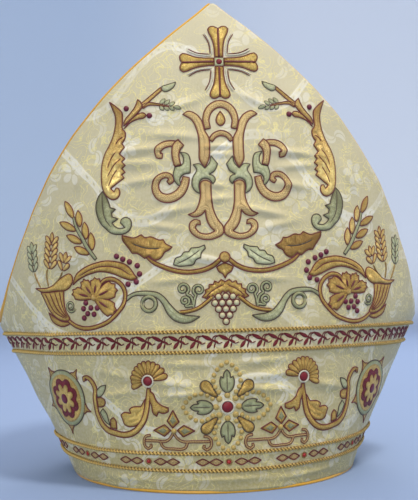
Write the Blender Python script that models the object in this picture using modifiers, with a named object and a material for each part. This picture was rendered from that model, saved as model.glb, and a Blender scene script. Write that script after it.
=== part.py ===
"""Bishop's mitre: two stiffened brocade horns joined at the sides, a folded satin gusset between them,
a bound rim, four couched gold cords and raised embroidery on the front horn. Millimetres are turned
into metres as points are placed. The front of the mitre faces -Y and its rim rests on z = 0."""

import math

import bmesh
import bpy
from mathutils import Vector

MM = 0.001

# Driving sizes of the form, in millimetres.
RIM_RADIUS = 95.5
CORNER_REACH = 145.5
CORNER_HEIGHT = 100.5
FRONT_AT_CORNER = 102.5
FRONT_AT_TIP = 85.0
HEIGHT = 298.0

HORN_WALL = 2.4
GUSSET_WALL = 1.2
GAP = 0.3
SEAM_GAP = 0.7
GUSSET_SEAT = 0.7
GUSSET_DROP = 2.0
GUSSET_REACH = 138.5
VALLEY_AT_CORNER = 101.5
VALLEY_HUMP = 11.0

BINDING_HEIGHT = 2.2
BINDING_OVERHANG = 0.7
BINDING_BEVEL = 0.5

CORD_RADIUS = 1.15
CORD_GAP = 0.45
EMBROIDERY_RAISE = 1.1
EMBROIDERY_SHIFT = 2.4
STRIP_WIDTH = 12.0

HORN_COLUMNS = 18
LOWER_ROWS = 5
UPPER_ROWS = 9
GUSSET_COLUMNS = 16
CORD_POINTS = 48
RIM_STEPS = 48

# How far the horn's surface goes on opening out above the corners before it keeps its curve.
OPENING_SLOPE = 0.62
OPENING_LENGTH = 12.0

OGIVE = (
    # height, half width
    (CORNER_HEIGHT, CORNER_REACH),
    (125.0, 136.5),
    (150.0, 126.8),
    (175.0, 116.0),
    (199.5, 101.8),
    (224.0, 84.0),
    (248.5, 61.0),
    (273.0, 33.0),
    (290.0, 11.0),
    (HEIGHT, 1.4),
)

CORDS = (
    # name, height at the front, height at the side seam
    ("upper_band_top_cord", 97.3, 94.0),
    ("upper_band_bottom_cord", 85.0, 82.2),
    ("lower_band_top_cord", 24.3, 26.0),
    ("lower_band_bottom_cord", 13.9, 17.0),
)

# Raised pieces drawn as a spine: rows of distance from the centre line, height, width.
GOLD_BLADES = {
    "acanthus_leaf": (
        (69.3, 238.3, 0.8), (65.5, 232.5, 5.5), (63.0, 226.0, 5.0), (62.8, 219.5, 7.0), (65.0, 212.0, 11.5),
        (67.0, 205.0, 13.5), (67.2, 198.0, 15.5), (68.0, 191.5, 13.5), (71.0, 186.0, 7.0), (71.8, 181.3, 4.2),
        (67.6, 178.9, 3.4), (64.2, 181.2, 2.6), (65.2, 184.2, 2.0),
    ),
    "bud_branch": (
        (57.9, 223.8, 1.4), (54.3, 228.2, 4.0), (49.5, 234.0, 4.6), (42.0, 239.6, 2.0), (35.5, 244.0, 2.2),
        (31.5, 245.6, 4.4), (27.2, 247.2, 1.0),
    ),
    "lobed_leaf": (
        (61.8, 154.2, 2.0), (58.5, 152.6, 6.0), (53.5, 150.0, 11.0), (47.5, 148.5, 13.5), (41.5, 148.2, 12.0),
        (36.5, 148.4, 7.5), (31.6, 147.8, 1.0),
    ),
    "wreath_stem": (
        (99.0, 102.9, 2.2), (95.0, 101.3, 2.2), (87.5, 100.4, 2.2), (78.0, 101.8, 2.2),
        (70.0, 105.5, 2.2), (64.2, 111.5, 2.2), (61.6, 119.0, 2.2), (63.0, 125.5, 2.2), (68.0, 129.8, 2.2),
        (74.5, 130.8, 2.2),
    ),
    "scroll_leaf": (
        (95.4, 128.8, 2.2), (93.2, 132.0, 6.2), (87.0, 135.2, 5.6), (80.5, 137.0, 4.6), (74.0, 137.8, 4.0),
        (68.5, 137.2, 5.6), (62.5, 135.4, 7.6), (57.0, 133.0, 6.4), (53.5, 131.0, 2.0),
    ),
    "wheat_ear": (
        (115.0, 137.5, 3.0), (116.4, 141.5, 9.0), (116.4, 147.0, 10.5), (115.5, 152.0, 9.0), (114.0, 156.2, 4.8),
        (113.7, 159.0, 1.6),
    ),
    "lower_scroll": (
        (94.6, 66.6, 3.0), (91.0, 68.8, 3.0), (87.4, 66.4, 3.0), (85.3, 60.0, 3.2), (85.0, 50.0, 3.5),
        (81.4, 41.8, 3.5), (75.0, 36.6, 3.8), (68.0, 34.8, 3.8), (60.5, 36.2, 4.4), (54.2, 41.4, 4.8),
        (50.4, 48.4, 4.6), (48.2, 56.0, 4.0), (47.2, 63.2, 2.4),
    ),
    "side_scroll": (
        (31.2, 188.2, 3.6), (34.6, 190.5, 2.8), (38.8, 188.4, 3.4), (40.6, 183.6, 4.2), (38.0, 178.4, 4.8),
        (32.6, 176.6, 5.2), (26.4, 179.2, 5.0), (22.8, 184.2, 4.2), (21.7, 188.4, 3.6),
    ),
}
SAGE_BLADES = {
    "sage_leaf": (
        (75.8, 180.4, 1.4), (76.4, 177.2, 5.0), (75.4, 173.0, 8.0), (73.8, 167.8, 9.0), (70.5, 163.0, 7.6),
        (66.0, 159.6, 5.0), (61.2, 158.2, 4.2), (58.2, 160.8, 3.8), (58.0, 164.4, 3.4), (60.8, 165.8, 2.6),
    ),
    "small_sage_leaf": (
        (11.6, 148.0, 1.0), (15.0, 146.0, 4.5), (20.0, 143.4, 6.5), (25.0, 140.6, 5.6), (29.0, 138.2, 3.2),
    ),
    "crescent_leaf": (
        (58.8, 118.4, 1.6), (55.0, 120.7, 1.6), (48.0, 121.2, 2.4), (42.0, 120.4, 2.8), (38.0, 117.6, 3.6),
        (35.4, 113.0, 4.6), (32.6, 108.4, 5.4), (28.0, 105.3, 5.0), (22.5, 104.8, 3.8), (16.6, 106.4, 0.8),
    ),
    "pale_wheat_ear": (
        (131.0, 135.5, 3.5), (131.5, 140.0, 9.0), (131.2, 146.0, 9.4), (131.6, 150.0, 6.6), (133.3, 153.5, 1.4),
    ),
}
CENTRE_BLADES = {
    "centre_arch": (
        (-7.9, 220.2, 2.8), (-8.8, 224.5, 3.2), (-6.8, 230.0, 3.8), (-2.4, 233.5, 3.8), (2.4, 233.5, 3.8),
        (6.8, 230.0, 3.8), (8.8, 224.5, 3.2), (7.9, 220.2, 2.8),
    ),
    "grape_cluster": (
        (0.0, 126.6, 6.0), (0.0, 123.2, 14.0), (0.0, 119.0, 20.0), (0.0, 116.2, 14.0), (0.0, 111.5, 12.6),
        (0.0, 107.5, 9.0), (0.0, 104.0, 6.0), (0.0, 101.0, 2.6),
    ),
    "centre_garland": (
        (-46.0, 140.0, 2.0), (-40.0, 136.4, 2.2), (-33.5, 134.0, 2.2), (-26.0, 133.0, 2.2), (-18.0, 133.0, 2.2),
        (-11.0, 134.4, 2.4), (-5.0, 136.6, 4.5), (0.0, 136.6, 12.5), (5.0, 136.6, 4.5), (11.0, 134.4, 2.4),
        (18.0, 133.0, 2.2), (26.0, 133.0, 2.2), (33.5, 134.0, 2.2), (40.0, 136.4, 2.2), (46.0, 140.0, 2.0),
    ),
}

# Raised pieces drawn as an outline: rows of distance from the centre line and height.
GOLD_OUTLINES = {
    "cornucopia": (
        (129.1, 124.7), (118.1, 124.9), (112.5, 126.8), (107.0, 130.4), (100.0, 133.1), (97.9, 131.2),
        (99.6, 126.4), (104.2, 123.6), (104.5, 116.5), (103.8, 110.5), (101.4, 105.4), (106.5, 104.6),
        (113.8, 107.5), (118.1, 111.9), (121.4, 117.2), (124.1, 122.2),
    ),
    "centre_foot": (
        (7.2, 185.6), (10.2, 187.0), (12.6, 185.6), (12.9, 178.5), (14.6, 173.0), (17.0, 168.8),
        (20.8, 166.8), (17.5, 165.5), (13.4, 166.4), (10.9, 168.8), (10.0, 163.5), (8.0, 159.2),
        (5.6, 156.6), (9.5, 155.2), (14.5, 156.2), (16.8, 158.8), (16.4, 160.6), (13.9, 160.6),
        (14.2, 162.9), (17.2, 163.6), (20.0, 161.6), (20.0, 157.6), (16.4, 153.6), (10.0, 151.8),
        (4.5, 152.8), (0.6, 155.4), (0.6, 159.6), (3.2, 163.2), (5.6, 168.6), (6.7, 174.5),
    ),
    "centre_strap": (
        (8.4, 199.0), (10.3, 195.3), (12.6, 198.2), (13.2, 205.0), (13.4, 213.5), (14.6, 219.0),
        (17.0, 224.0), (22.0, 227.8), (19.4, 229.4), (14.6, 227.6), (11.6, 223.6), (9.9, 217.5),
        (7.6, 213.0), (7.3, 205.0),
    ),
    "side_scroll_head": (
        (25.2, 198.0), (28.4, 198.8), (29.6, 204.6), (31.2, 207.6), (34.2, 206.8), (34.6, 203.4),
        (37.6, 203.2), (39.4, 206.2), (37.4, 209.8), (32.6, 210.8), (29.4, 209.8), (27.0, 212.2),
        (23.2, 212.8), (21.2, 209.8), (23.4, 206.4), (24.0, 202.6),
    ),
    "lily_stand": (
        (32.9, 50.5), (36.2, 44.2), (33.9, 40.6), (38.2, 41.6), (45.0, 38.5), (38.5, 35.2), (34.4, 37.2),
        (35.6, 33.9), (48.6, 33.9), (52.4, 32.0), (52.8, 28.6), (50.4, 26.8), (48.0, 28.4), (49.0, 31.0),
        (40.5, 31.4), (38.0, 27.4), (27.4, 27.4), (24.9, 31.4), (16.4, 31.0), (17.4, 28.4), (15.0, 26.8),
        (12.6, 28.6), (13.0, 32.0), (16.8, 33.9), (29.8, 33.9), (31.0, 37.2), (26.9, 35.2), (20.4, 38.5),
        (27.2, 41.6), (31.5, 40.6), (29.2, 44.2),
    ),
}
SAGE_OUTLINES = {
    "centre_collar": (
        (6.7, 201.3), (7.5, 197.6), (10.3, 194.2), (13.3, 197.0), (16.8, 196.8), (15.3, 193.5),
        (17.6, 189.0), (18.0, 184.5), (16.0, 180.5), (13.9, 180.0), (14.2, 183.5), (13.3, 187.0),
        (10.2, 188.2), (7.2, 187.0), (5.8, 185.0), (4.5, 187.5), (5.5, 189.8), (8.0, 190.6),
        (4.5, 193.0), (2.9, 197.0),
    ),
    "side_collar": (
        (19.4, 191.6), (18.9, 198.0), (20.3, 203.0), (23.2, 204.0), (22.9, 200.5), (23.9, 196.6),
        (28.0, 196.4), (29.2, 190.2), (26.6, 185.0), (25.4, 188.0), (25.0, 190.4),
    ),
}

# The cross: rows of distance out along an arm and half width there.
CROSS_CENTRE = (0.3, 260.8)
CROSS_ARM = ((2.8, 2.8), (12.0, 3.3), (20.6, 6.2), (23.3, 3.2), (22.6, 0.0))

# Sprig: where its stem starts, and rows of each leaf's foot and tip.
SPRIG_FOOT = (80.6, 141.0)
SPRIG_LEAF_WIDTH = 4.8
SPRIG_OUTER_LEAVES = (
    # foot out, foot height, tip out, tip height
    (84.8, 146.2, 95.6, 149.4),
    (89.4, 153.0, 101.5, 157.0),
    (93.2, 160.6, 107.0, 165.6),
)
SPRIG_TOP_LEAF = (95.4, 167.2, 103.4, 179.0)
SPRIG_INNER_LEAVES = (
    (91.9, 161.0, 89.8, 172.2),
    (87.6, 153.8, 85.6, 164.6),
    (83.4, 147.0, 81.8, 158.4),
)

PALMETTE_CENTRE = (48.0, 68.0)
PALMETTE_FAN = (-28.0, 172.0)
PALMETTE_LOBES = 11
PALMETTE_RADII = (9.2, 11.8, 4.0)

VINE_FLOWER_CENTRE = (81.5, 118.8)
VINE_FLOWER_FAN = (-6.0, 208.0)
VINE_FLOWER_LOBES = 5
VINE_FLOWER_RADII = (6.0, 10.8, 3.6)

MEDALLION_CENTRE = (113.5, 54.5)
MEDALLION_RADIUS = 18.5
MEDALLION_POINTS = 5
MEDALLION_POINT_REACH = 22.5

FLOWER_CENTRE = (0.0, 52.3)
FLOWER_REACH = {"trefoil": 22.0, "drop": 19.0}
FLOWER_EYE = 5.0

COLOURS = {
    # name: red, green, blue, roughness, metallic
    "brocade": (0.47, 0.44, 0.30, 0.6, 0.0),
    "satin": (0.72, 0.42, 0.07, 0.4, 0.0),
    "gold_cord": (0.50, 0.33, 0.08, 0.4, 0.3),
    "gold_thread": (0.55, 0.35, 0.12, 0.45, 0.1),
    "sage_thread": (0.40, 0.46, 0.30, 0.5, 0.0),
    "maroon_thread": (0.20, 0.02, 0.04, 0.5, 0.0),
}


def clear_scene():
    for old in list(bpy.data.objects):
        bpy.data.objects.remove(old, do_unlink=True)


def new_collection(name):
    collection = bpy.data.collections.new(name)
    bpy.context.scene.collection.children.link(collection)
    return collection


def new_material(name):
    red, green, blue, roughness, metallic = COLOURS[name]
    material = bpy.data.materials.new(name)
    material.use_nodes = True
    shader = material.node_tree.nodes["Principled BSDF"]
    shader.inputs["Base Color"].default_value = (red, green, blue, 1.0)
    shader.inputs["Roughness"].default_value = roughness
    shader.inputs["Metallic"].default_value = metallic
    return material


def curve_through(rows, at):
    """Smooth value at a place between rows of (place, value), which rise in place."""
    places = [row[0] for row in rows]
    values = [row[1] for row in rows]
    at = min(max(at, places[0]), places[-1])
    index = max(i for i in range(len(rows) - 1) if places[i] <= at)
    span = places[index + 1] - places[index]

    def slope(i):
        low, high = max(i - 1, 0), min(i + 1, len(rows) - 1)
        return (values[high] - values[low]) / (places[high] - places[low])

    t = (at - places[index]) / span
    rise = values[index + 1] - values[index]
    start, end = slope(index) * span, slope(index + 1) * span
    return values[index] + t * start + t * t * (3 * rise - 2 * start - end) + t**3 * (start + end - 2 * rise)


def front_line(height):
    """How far the front of the mitre stands from the axis: a slight belly that leans back to the tip."""
    to_corner = (FRONT_AT_CORNER - RIM_RADIUS) / CORNER_HEIGHT
    to_tip = (FRONT_AT_TIP - RIM_RADIUS) / HEIGHT
    bend = (to_tip - to_corner) / (HEIGHT - CORNER_HEIGHT)
    return RIM_RADIUS + (to_corner - bend * CORNER_HEIGHT) * height + bend * height * height


def section_radius(height):
    """Radius of the arc that a level cut makes through the front horn."""
    level = min(height, CORNER_HEIGHT)
    reach = RIM_RADIUS + (CORNER_REACH - RIM_RADIUS) * level / CORNER_HEIGHT
    depth = front_line(level)
    above = max(height - CORNER_HEIGHT, 0.0)
    opening = OPENING_SLOPE * OPENING_LENGTH * (1 - math.exp(-above / OPENING_LENGTH))
    return (reach * reach + depth * depth) / (2 * depth) + opening


def bare_point(around, height):
    """Point on the front horn's outer face, at a distance around from its centre line."""
    radius = section_radius(height)
    angle = around / radius
    return Vector((radius * math.sin(angle), -(front_line(height) - radius + radius * math.cos(angle)), height))


def face_normal(around, height):
    step = 0.5
    across = bare_point(around + step, height) - bare_point(around - step, height)
    up = bare_point(around, height + step) - bare_point(around, height - step)
    return across.cross(up).normalized()


def horn_point(around, height, out=0.0):
    """Point in metres that stands out from the front horn's face."""
    return (bare_point(around, height) + face_normal(around, height) * out) * MM


def edge_angle(height):
    """Half angle of the horn's section, where the side seam or the pointed edge ends it."""
    radius = section_radius(height)
    clear = (SEAM_GAP / 2 + radius - front_line(height)) / (radius - HORN_WALL)
    seam = math.acos(max(min(clear, 1.0), -1.0))
    if height < CORNER_HEIGHT:
        return seam
    return min(seam, math.asin(curve_through(OGIVE, height) / radius))


def edge_height(half_width):
    """Height of the pointed edge where the horn has this half width."""
    rising = [(width, height) for height, width in reversed(OGIVE)]
    return curve_through(rising, half_width)


def finish_mesh(name, bm, material, collection, smooth_angle=40.0):
    mesh = bpy.data.meshes.new(name)
    bm.to_mesh(mesh)
    bm.free()
    mesh.shade_smooth()
    mesh.set_sharp_from_angle(angle=math.radians(smooth_angle))
    mesh.materials.append(material)
    obj = bpy.data.objects.new(name, mesh)
    collection.objects.link(obj)
    return obj


def add_grid(bm, rows):
    """Quads between rows of points of equal length."""
    lines = [[bm.verts.new(point) for point in row] for row in rows]
    for low, high in zip(lines, lines[1:]):
        for i in range(len(low) - 1):
            bm.faces.new((low[i], low[i + 1], high[i + 1], high[i]))


def turned_round(point, back):
    """The same point, or its twin half a turn away for the back horn."""
    return Vector((-point.x, -point.y, point.z)) if back else point


def row_heights():
    start = BINDING_HEIGHT + GAP
    lower = [start + (CORNER_HEIGHT - start) * i / LOWER_ROWS for i in range(LOWER_ROWS)]
    upper = [CORNER_HEIGHT + (HEIGHT - CORNER_HEIGHT) * i / UPPER_ROWS for i in range(UPPER_ROWS + 1)]
    return lower + upper


def make_horn(name, back, material, collection):
    rows = []
    for height in row_heights():
        reach = edge_angle(height) * section_radius(height)
        steps = [2 * i / HORN_COLUMNS - 1 for i in range(HORN_COLUMNS + 1)]
        rows.append([turned_round(horn_point(step * reach, height), back) for step in steps])
    bm = bmesh.new()
    add_grid(bm, rows)
    horn = finish_mesh(name, bm, material, collection)
    wall = horn.modifiers.new("wall", "SOLIDIFY")
    wall.thickness = HORN_WALL * MM
    wall.offset = -1.0
    return horn


def gusset_column(half_width, side):
    """Points from the front horn's edge, down to the valley and up to the back horn's edge."""
    height = edge_height(half_width)
    around = math.asin(half_width / section_radius(height)) * section_radius(height)
    seat = -(HORN_WALL + GUSSET_SEAT + GUSSET_WALL / 2)
    edge = horn_point(side * around, height - GUSSET_DROP, seat)
    share = half_width / GUSSET_REACH
    valley = Vector((edge.x, 0.0, (VALLEY_AT_CORNER + VALLEY_HUMP * (1 - share * share)) * MM))
    front = [edge.lerp(valley, part) for part in (0.0, 0.3, 0.6, 0.85, 1.0)]
    back = [Vector((point.x, -point.y, point.z)) for point in reversed(front[:-1])]
    return front + back


def make_gusset(material, collection):
    columns = []
    for i in range(GUSSET_COLUMNS + 1):
        share = 2 * i / GUSSET_COLUMNS - 1
        side = -1 if share < 0 else 1
        half_width = max(abs(share) * GUSSET_REACH, OGIVE[-1][1])
        columns.append(gusset_column(half_width, side))
    bm = bmesh.new()
    add_grid(bm, columns)
    gusset = finish_mesh("gusset", bm, material, collection)
    wall = gusset.modifiers.new("wall", "SOLIDIFY")
    wall.thickness = GUSSET_WALL * MM
    wall.offset = 0.0
    wall.use_even_offset = True
    return gusset


def make_binding(material, collection):
    """A turned ring under the horns' wall, flat below, so that the mitre stands on it."""
    inner = RIM_RADIUS - HORN_WALL - BINDING_OVERHANG
    outer = RIM_RADIUS + BINDING_OVERHANG
    profile = (
        (outer, BINDING_HEIGHT),
        (outer, BINDING_BEVEL),
        (outer - BINDING_BEVEL, 0.0),
        (inner, 0.0),
        (inner, BINDING_HEIGHT),
    )
    bm = bmesh.new()
    ring = [bm.verts.new((radius * MM, 0.0, height * MM)) for radius, height in profile]
    for start, end in zip(ring, ring[1:] + ring[:1]):
        bm.edges.new((start, end))
    mesh = bpy.data.meshes.new("rim_binding")
    bm.to_mesh(mesh)
    bm.free()
    mesh.materials.append(material)
    binding = bpy.data.objects.new("rim_binding", mesh)
    collection.objects.link(binding)
    turn = binding.modifiers.new("turn", "SCREW")
    turn.steps = RIM_STEPS
    turn.render_steps = RIM_STEPS
    turn.use_merge_vertices = True
    turn.merge_threshold = 0.00001
    return binding


def make_cord(name, at_front, at_seam, material, collection):
    """A closed round of twisted cord, couched on both horns."""
    half = CORD_POINTS // 2
    points = []
    for back in (False, True):
        for i in range(half):
            share = 2 * i / half - 1
            height = at_front + (at_seam - at_front) * share * share
            around = share * edge_angle(height) * section_radius(height)
            point = horn_point(around, height, CORD_GAP + CORD_RADIUS)
            if i == 0:
                normal = face_normal(around, height)
                point = horn_point(around, height)
                point += Vector(((CORD_GAP + CORD_RADIUS) * MM / normal.x, -point.y, 0.0))
            points.append(turned_round(point, back))
    curve = bpy.data.curves.new(name, "CURVE")
    curve.dimensions = "3D"
    curve.bevel_depth = CORD_RADIUS * MM
    curve.bevel_resolution = 1
    spline = curve.splines.new("POLY")
    spline.points.add(len(points) - 1)
    for target, point in zip(spline.points, points):
        target.co = (*point, 1.0)
    spline.use_cyclic_u = True
    spline.use_smooth = True
    curve.materials.append(material)
    cord = bpy.data.objects.new(name, curve)
    collection.objects.link(cord)
    return cord


def wrap_on_horn(bm):
    """Cuts a flat outline into upright strips, thickens it and bends it round the front horn."""
    bm.normal_update()
    bmesh.ops.triangulate(bm, faces=bm.faces)
    low = min(vertex.co.x for vertex in bm.verts)
    high = max(vertex.co.x for vertex in bm.verts)
    for index in range(math.ceil(low / STRIP_WIDTH), math.ceil(high / STRIP_WIDTH)):
        geometry = bm.verts[:] + bm.edges[:] + bm.faces[:]
        cut = Vector((index * STRIP_WIDTH, 0.0, 0.0))
        bmesh.ops.bisect_plane(bm, geom=geometry, dist=0.01, plane_co=cut, plane_no=(1, 0, 0))
    raised = bmesh.ops.extrude_face_region(bm, geom=bm.faces[:])
    for item in raised["geom"]:
        if isinstance(item, bmesh.types.BMVert):
            item.co.z = EMBROIDERY_RAISE
    for vertex in bm.verts:
        around, height, out = vertex.co
        vertex.co = horn_point(around + EMBROIDERY_SHIFT, height, GAP + out)
    bmesh.ops.recalc_face_normals(bm, faces=bm.faces)
    if bm.calc_volume(signed=True) < 0:
        bmesh.ops.reverse_faces(bm, faces=bm.faces)


def make_blade(name, rows, side, material, collection):
    """A raised band along a spine, as wide at each row as the row says."""
    spine = [Vector((side * out, height)) for out, height, _ in rows]
    bm = bmesh.new()
    pairs = []
    for i, (point, row) in enumerate(zip(spine, rows)):
        along = (spine[min(i + 1, len(spine) - 1)] - spine[max(i - 1, 0)]).normalized()
        across = Vector((-along.y, along.x)) * row[2] / 2
        pairs.append([bm.verts.new((*(point + offset), 0.0)) for offset in (across, -across)])
    for first, second in zip(pairs, pairs[1:]):
        bm.faces.new((first[0], first[1], second[1], second[0]))
    wrap_on_horn(bm)
    return finish_mesh(name, bm, material, collection)


def make_outline(name, points, side, material, collection):
    """A raised piece from its outline, given as distances from the centre line and heights."""
    bm = bmesh.new()
    bm.faces.new([bm.verts.new((side * out, height, 0.0)) for out, height in points])
    wrap_on_horn(bm)
    return finish_mesh(name, bm, material, collection)


def polar(centre, radius, degrees):
    angle = math.radians(degrees)
    return (centre[0] + radius * math.cos(angle), centre[1] + radius * math.sin(angle))


def fan_outline(centre, fan, lobes, radii):
    """A fan of round-ended lobes whose foot is a small arc."""
    valley, peak, foot = radii
    lobe = (fan[1] - fan[0]) / lobes
    points = [polar(centre, valley, fan[0])]
    for i in range(lobes):
        start = fan[0] + i * lobe
        points.append(polar(centre, peak, start + lobe * 0.25))
        points.append(polar(centre, peak, start + lobe * 0.75))
        points.append(polar(centre, valley, start + lobe))
    foot_steps = 4
    rest = 360 - (fan[1] - fan[0])
    points += [polar(centre, foot, fan[1] + rest * (i + 0.5) / foot_steps) for i in range(foot_steps)]
    return points


def cross_outline():
    points = []
    for turn in range(4):
        along = (math.cos(turn * math.pi / 2), math.sin(turn * math.pi / 2))
        lower = [(reach, -half) for reach, half in CROSS_ARM]
        upper = [(reach, half) for reach, half in reversed(CROSS_ARM[1:-1])]
        for reach, offset in lower + upper:
            points.append((
                CROSS_CENTRE[0] + along[0] * reach - along[1] * offset,
                CROSS_CENTRE[1] + along[1] * reach + along[0] * offset,
            ))
    return points


def leaf_corners(foot_out, foot_height, tip_out, tip_height):
    """A leaf's outline from its foot to its tip and back: foot, flank, tip, flank, foot."""
    foot, tip = Vector((foot_out, foot_height)), Vector((tip_out, tip_height))
    along = (tip - foot).normalized()
    across = Vector((-along.y, along.x)) * SPRIG_LEAF_WIDTH / 2
    shares = ((0.0, -0.18), (0.45, -1.0), (1.0, 0.0), (0.45, 1.0), (0.0, 0.18))
    return [tuple(foot.lerp(tip, share) + across * width) for share, width in shares]


def sprig_outline():
    points = [(SPRIG_FOOT[0] + 0.6, SPRIG_FOOT[1] - 0.4)]
    for leaf in SPRIG_OUTER_LEAVES:
        points += leaf_corners(*leaf)
    points += leaf_corners(*SPRIG_TOP_LEAF)
    for leaf in SPRIG_INNER_LEAVES:
        points += leaf_corners(*leaf)
    points.append((SPRIG_FOOT[0] - 0.6, SPRIG_FOOT[1] + 0.4))
    return points


def medallion_outline():
    points = []
    step = 360 / MEDALLION_POINTS
    for i in range(MEDALLION_POINTS):
        middle = -90 + i * step
        for turn, radius in ((-8, MEDALLION_RADIUS), (0, MEDALLION_POINT_REACH), (8, MEDALLION_RADIUS)):
            points.append(polar(MEDALLION_CENTRE, radius, middle + turn))
        for turn in (27, 45):
            points.append(polar(MEDALLION_CENTRE, MEDALLION_RADIUS, middle + turn))
    return points


def flower_outline():
    points = []
    for i in range(8):
        middle = 45 * i
        reach = FLOWER_REACH["trefoil" if i % 2 == 0 else "drop"]
        points.append(polar(FLOWER_CENTRE, FLOWER_EYE, middle - 22.5))
        for turn, share in ((-11, 0.65), (0, 1.0), (11, 0.65)):
            points.append(polar(FLOWER_CENTRE, reach * share, middle + turn))
    return points


def main():
    clear_scene()
    collection = new_collection("bishop_mitre")
    materials = {name: new_material(name) for name in COLOURS}
    gold, sage = materials["gold_thread"], materials["sage_thread"]

    make_horn("front_horn", False, materials["brocade"], collection)
    make_horn("back_horn", True, materials["brocade"], collection)
    make_gusset(materials["satin"], collection)
    make_binding(materials["satin"], collection)
    for name, at_front, at_seam in CORDS:
        make_cord(name, at_front, at_seam, materials["gold_cord"], collection)

    for name, rows in CENTRE_BLADES.items():
        make_blade(name, rows, 1, gold, collection)
    make_outline("cross", cross_outline(), 1, gold, collection)
    make_outline("central_flower", flower_outline(), 1, sage, collection)

    pairs = {
        "leaf_sprig": (sprig_outline(), gold),
        "palmette": (fan_outline(PALMETTE_CENTRE, PALMETTE_FAN, PALMETTE_LOBES, PALMETTE_RADII), gold),
        "vine_flower": (
            fan_outline(VINE_FLOWER_CENTRE, VINE_FLOWER_FAN, VINE_FLOWER_LOBES, VINE_FLOWER_RADII),
            gold,
        ),
        "rose_medallion": (medallion_outline(), materials["maroon_thread"]),
    }
    pairs.update({name: (points, gold) for name, points in GOLD_OUTLINES.items()})
    pairs.update({name: (points, sage) for name, points in SAGE_OUTLINES.items()})
    for side, side_name in ((-1, "left"), (1, "right")):
        for name, rows in GOLD_BLADES.items():
            make_blade(f"{side_name}_{name}", rows, side, gold, collection)
        for name, rows in SAGE_BLADES.items():
            make_blade(f"{side_name}_{name}", rows, side, sage, collection)
        for name, (points, material) in pairs.items():
            make_outline(f"{side_name}_{name}", points, side, material, collection)


main()
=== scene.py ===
"""Bishop's mitre: brocade horns, satin gusset and piping, couched cords and raised silk embroidery.

Lengths in tables and functions are millimetres, until a point is placed. On a horn a place is (u, z): u runs
round the face from its centre line, to the viewer's right on the front horn, and z is the height. The third
number of a relief point is how far it stands out from the cloth."""

import math

import bpy
import numpy as np
from mathutils import Matrix, Vector


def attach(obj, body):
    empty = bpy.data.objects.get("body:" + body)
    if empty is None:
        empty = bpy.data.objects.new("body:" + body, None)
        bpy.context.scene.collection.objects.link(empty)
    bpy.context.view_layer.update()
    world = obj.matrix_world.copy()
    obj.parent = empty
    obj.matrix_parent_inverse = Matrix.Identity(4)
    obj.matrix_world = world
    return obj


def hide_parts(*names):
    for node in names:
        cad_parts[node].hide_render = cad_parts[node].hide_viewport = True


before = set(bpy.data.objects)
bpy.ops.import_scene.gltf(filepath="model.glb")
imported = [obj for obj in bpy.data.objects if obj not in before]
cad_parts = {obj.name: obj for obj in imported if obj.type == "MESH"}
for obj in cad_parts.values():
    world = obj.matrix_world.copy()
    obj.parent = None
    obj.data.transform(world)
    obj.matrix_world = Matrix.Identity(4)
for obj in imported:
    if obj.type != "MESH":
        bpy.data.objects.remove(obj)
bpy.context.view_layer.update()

MM = 0.001

# ---------------------------------------------------------------- sizes of the mitre
RIM_RADIUS = 95.5
# At a side corner: reach from the centre line, height, and reach of the front face at that height.
CORNER_REACH = 145.5
CORNER_HEIGHT = 100.5
FRONT_AT_CORNER = 102.5
FRONT_AT_TIP = 85.0
HEIGHT = 298.0
BROCADE_WALL = 2.1
RIM_START = 1.3
# Above the corners a horn's curve grows wider by this slope, which dies away over this length.
OPENING_SLOPE = 0.62
OPENING_LENGTH = 12.0
# The embroidery's centre line lies this far to the right of the horn's own.
CENTRE_SHIFT = 2.4

OGIVE = (
    # height, half width
    (CORNER_HEIGHT, CORNER_REACH),
    (125.0, 136.5),
    (150.0, 126.8),
    (175.0, 116.0),
    (199.5, 101.8),
    (224.0, 84.0),
    (248.5, 61.0),
    (273.0, 33.0),
    (290.0, 11.0),
    (HEIGHT, 1.4),
)

CORDS = (
    # name, height at the front, height at the side seam
    ("upper_band_top_cord", 97.3, 94.0),
    ("upper_band_bottom_cord", 85.0, 82.2),
    ("lower_band_top_cord", 24.3, 26.0),
    ("lower_band_bottom_cord", 13.9, 17.0),
)
FERN_LINE = (91.2, 88.2)
DIAMOND_LINE = (19.1, 21.5)

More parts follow.
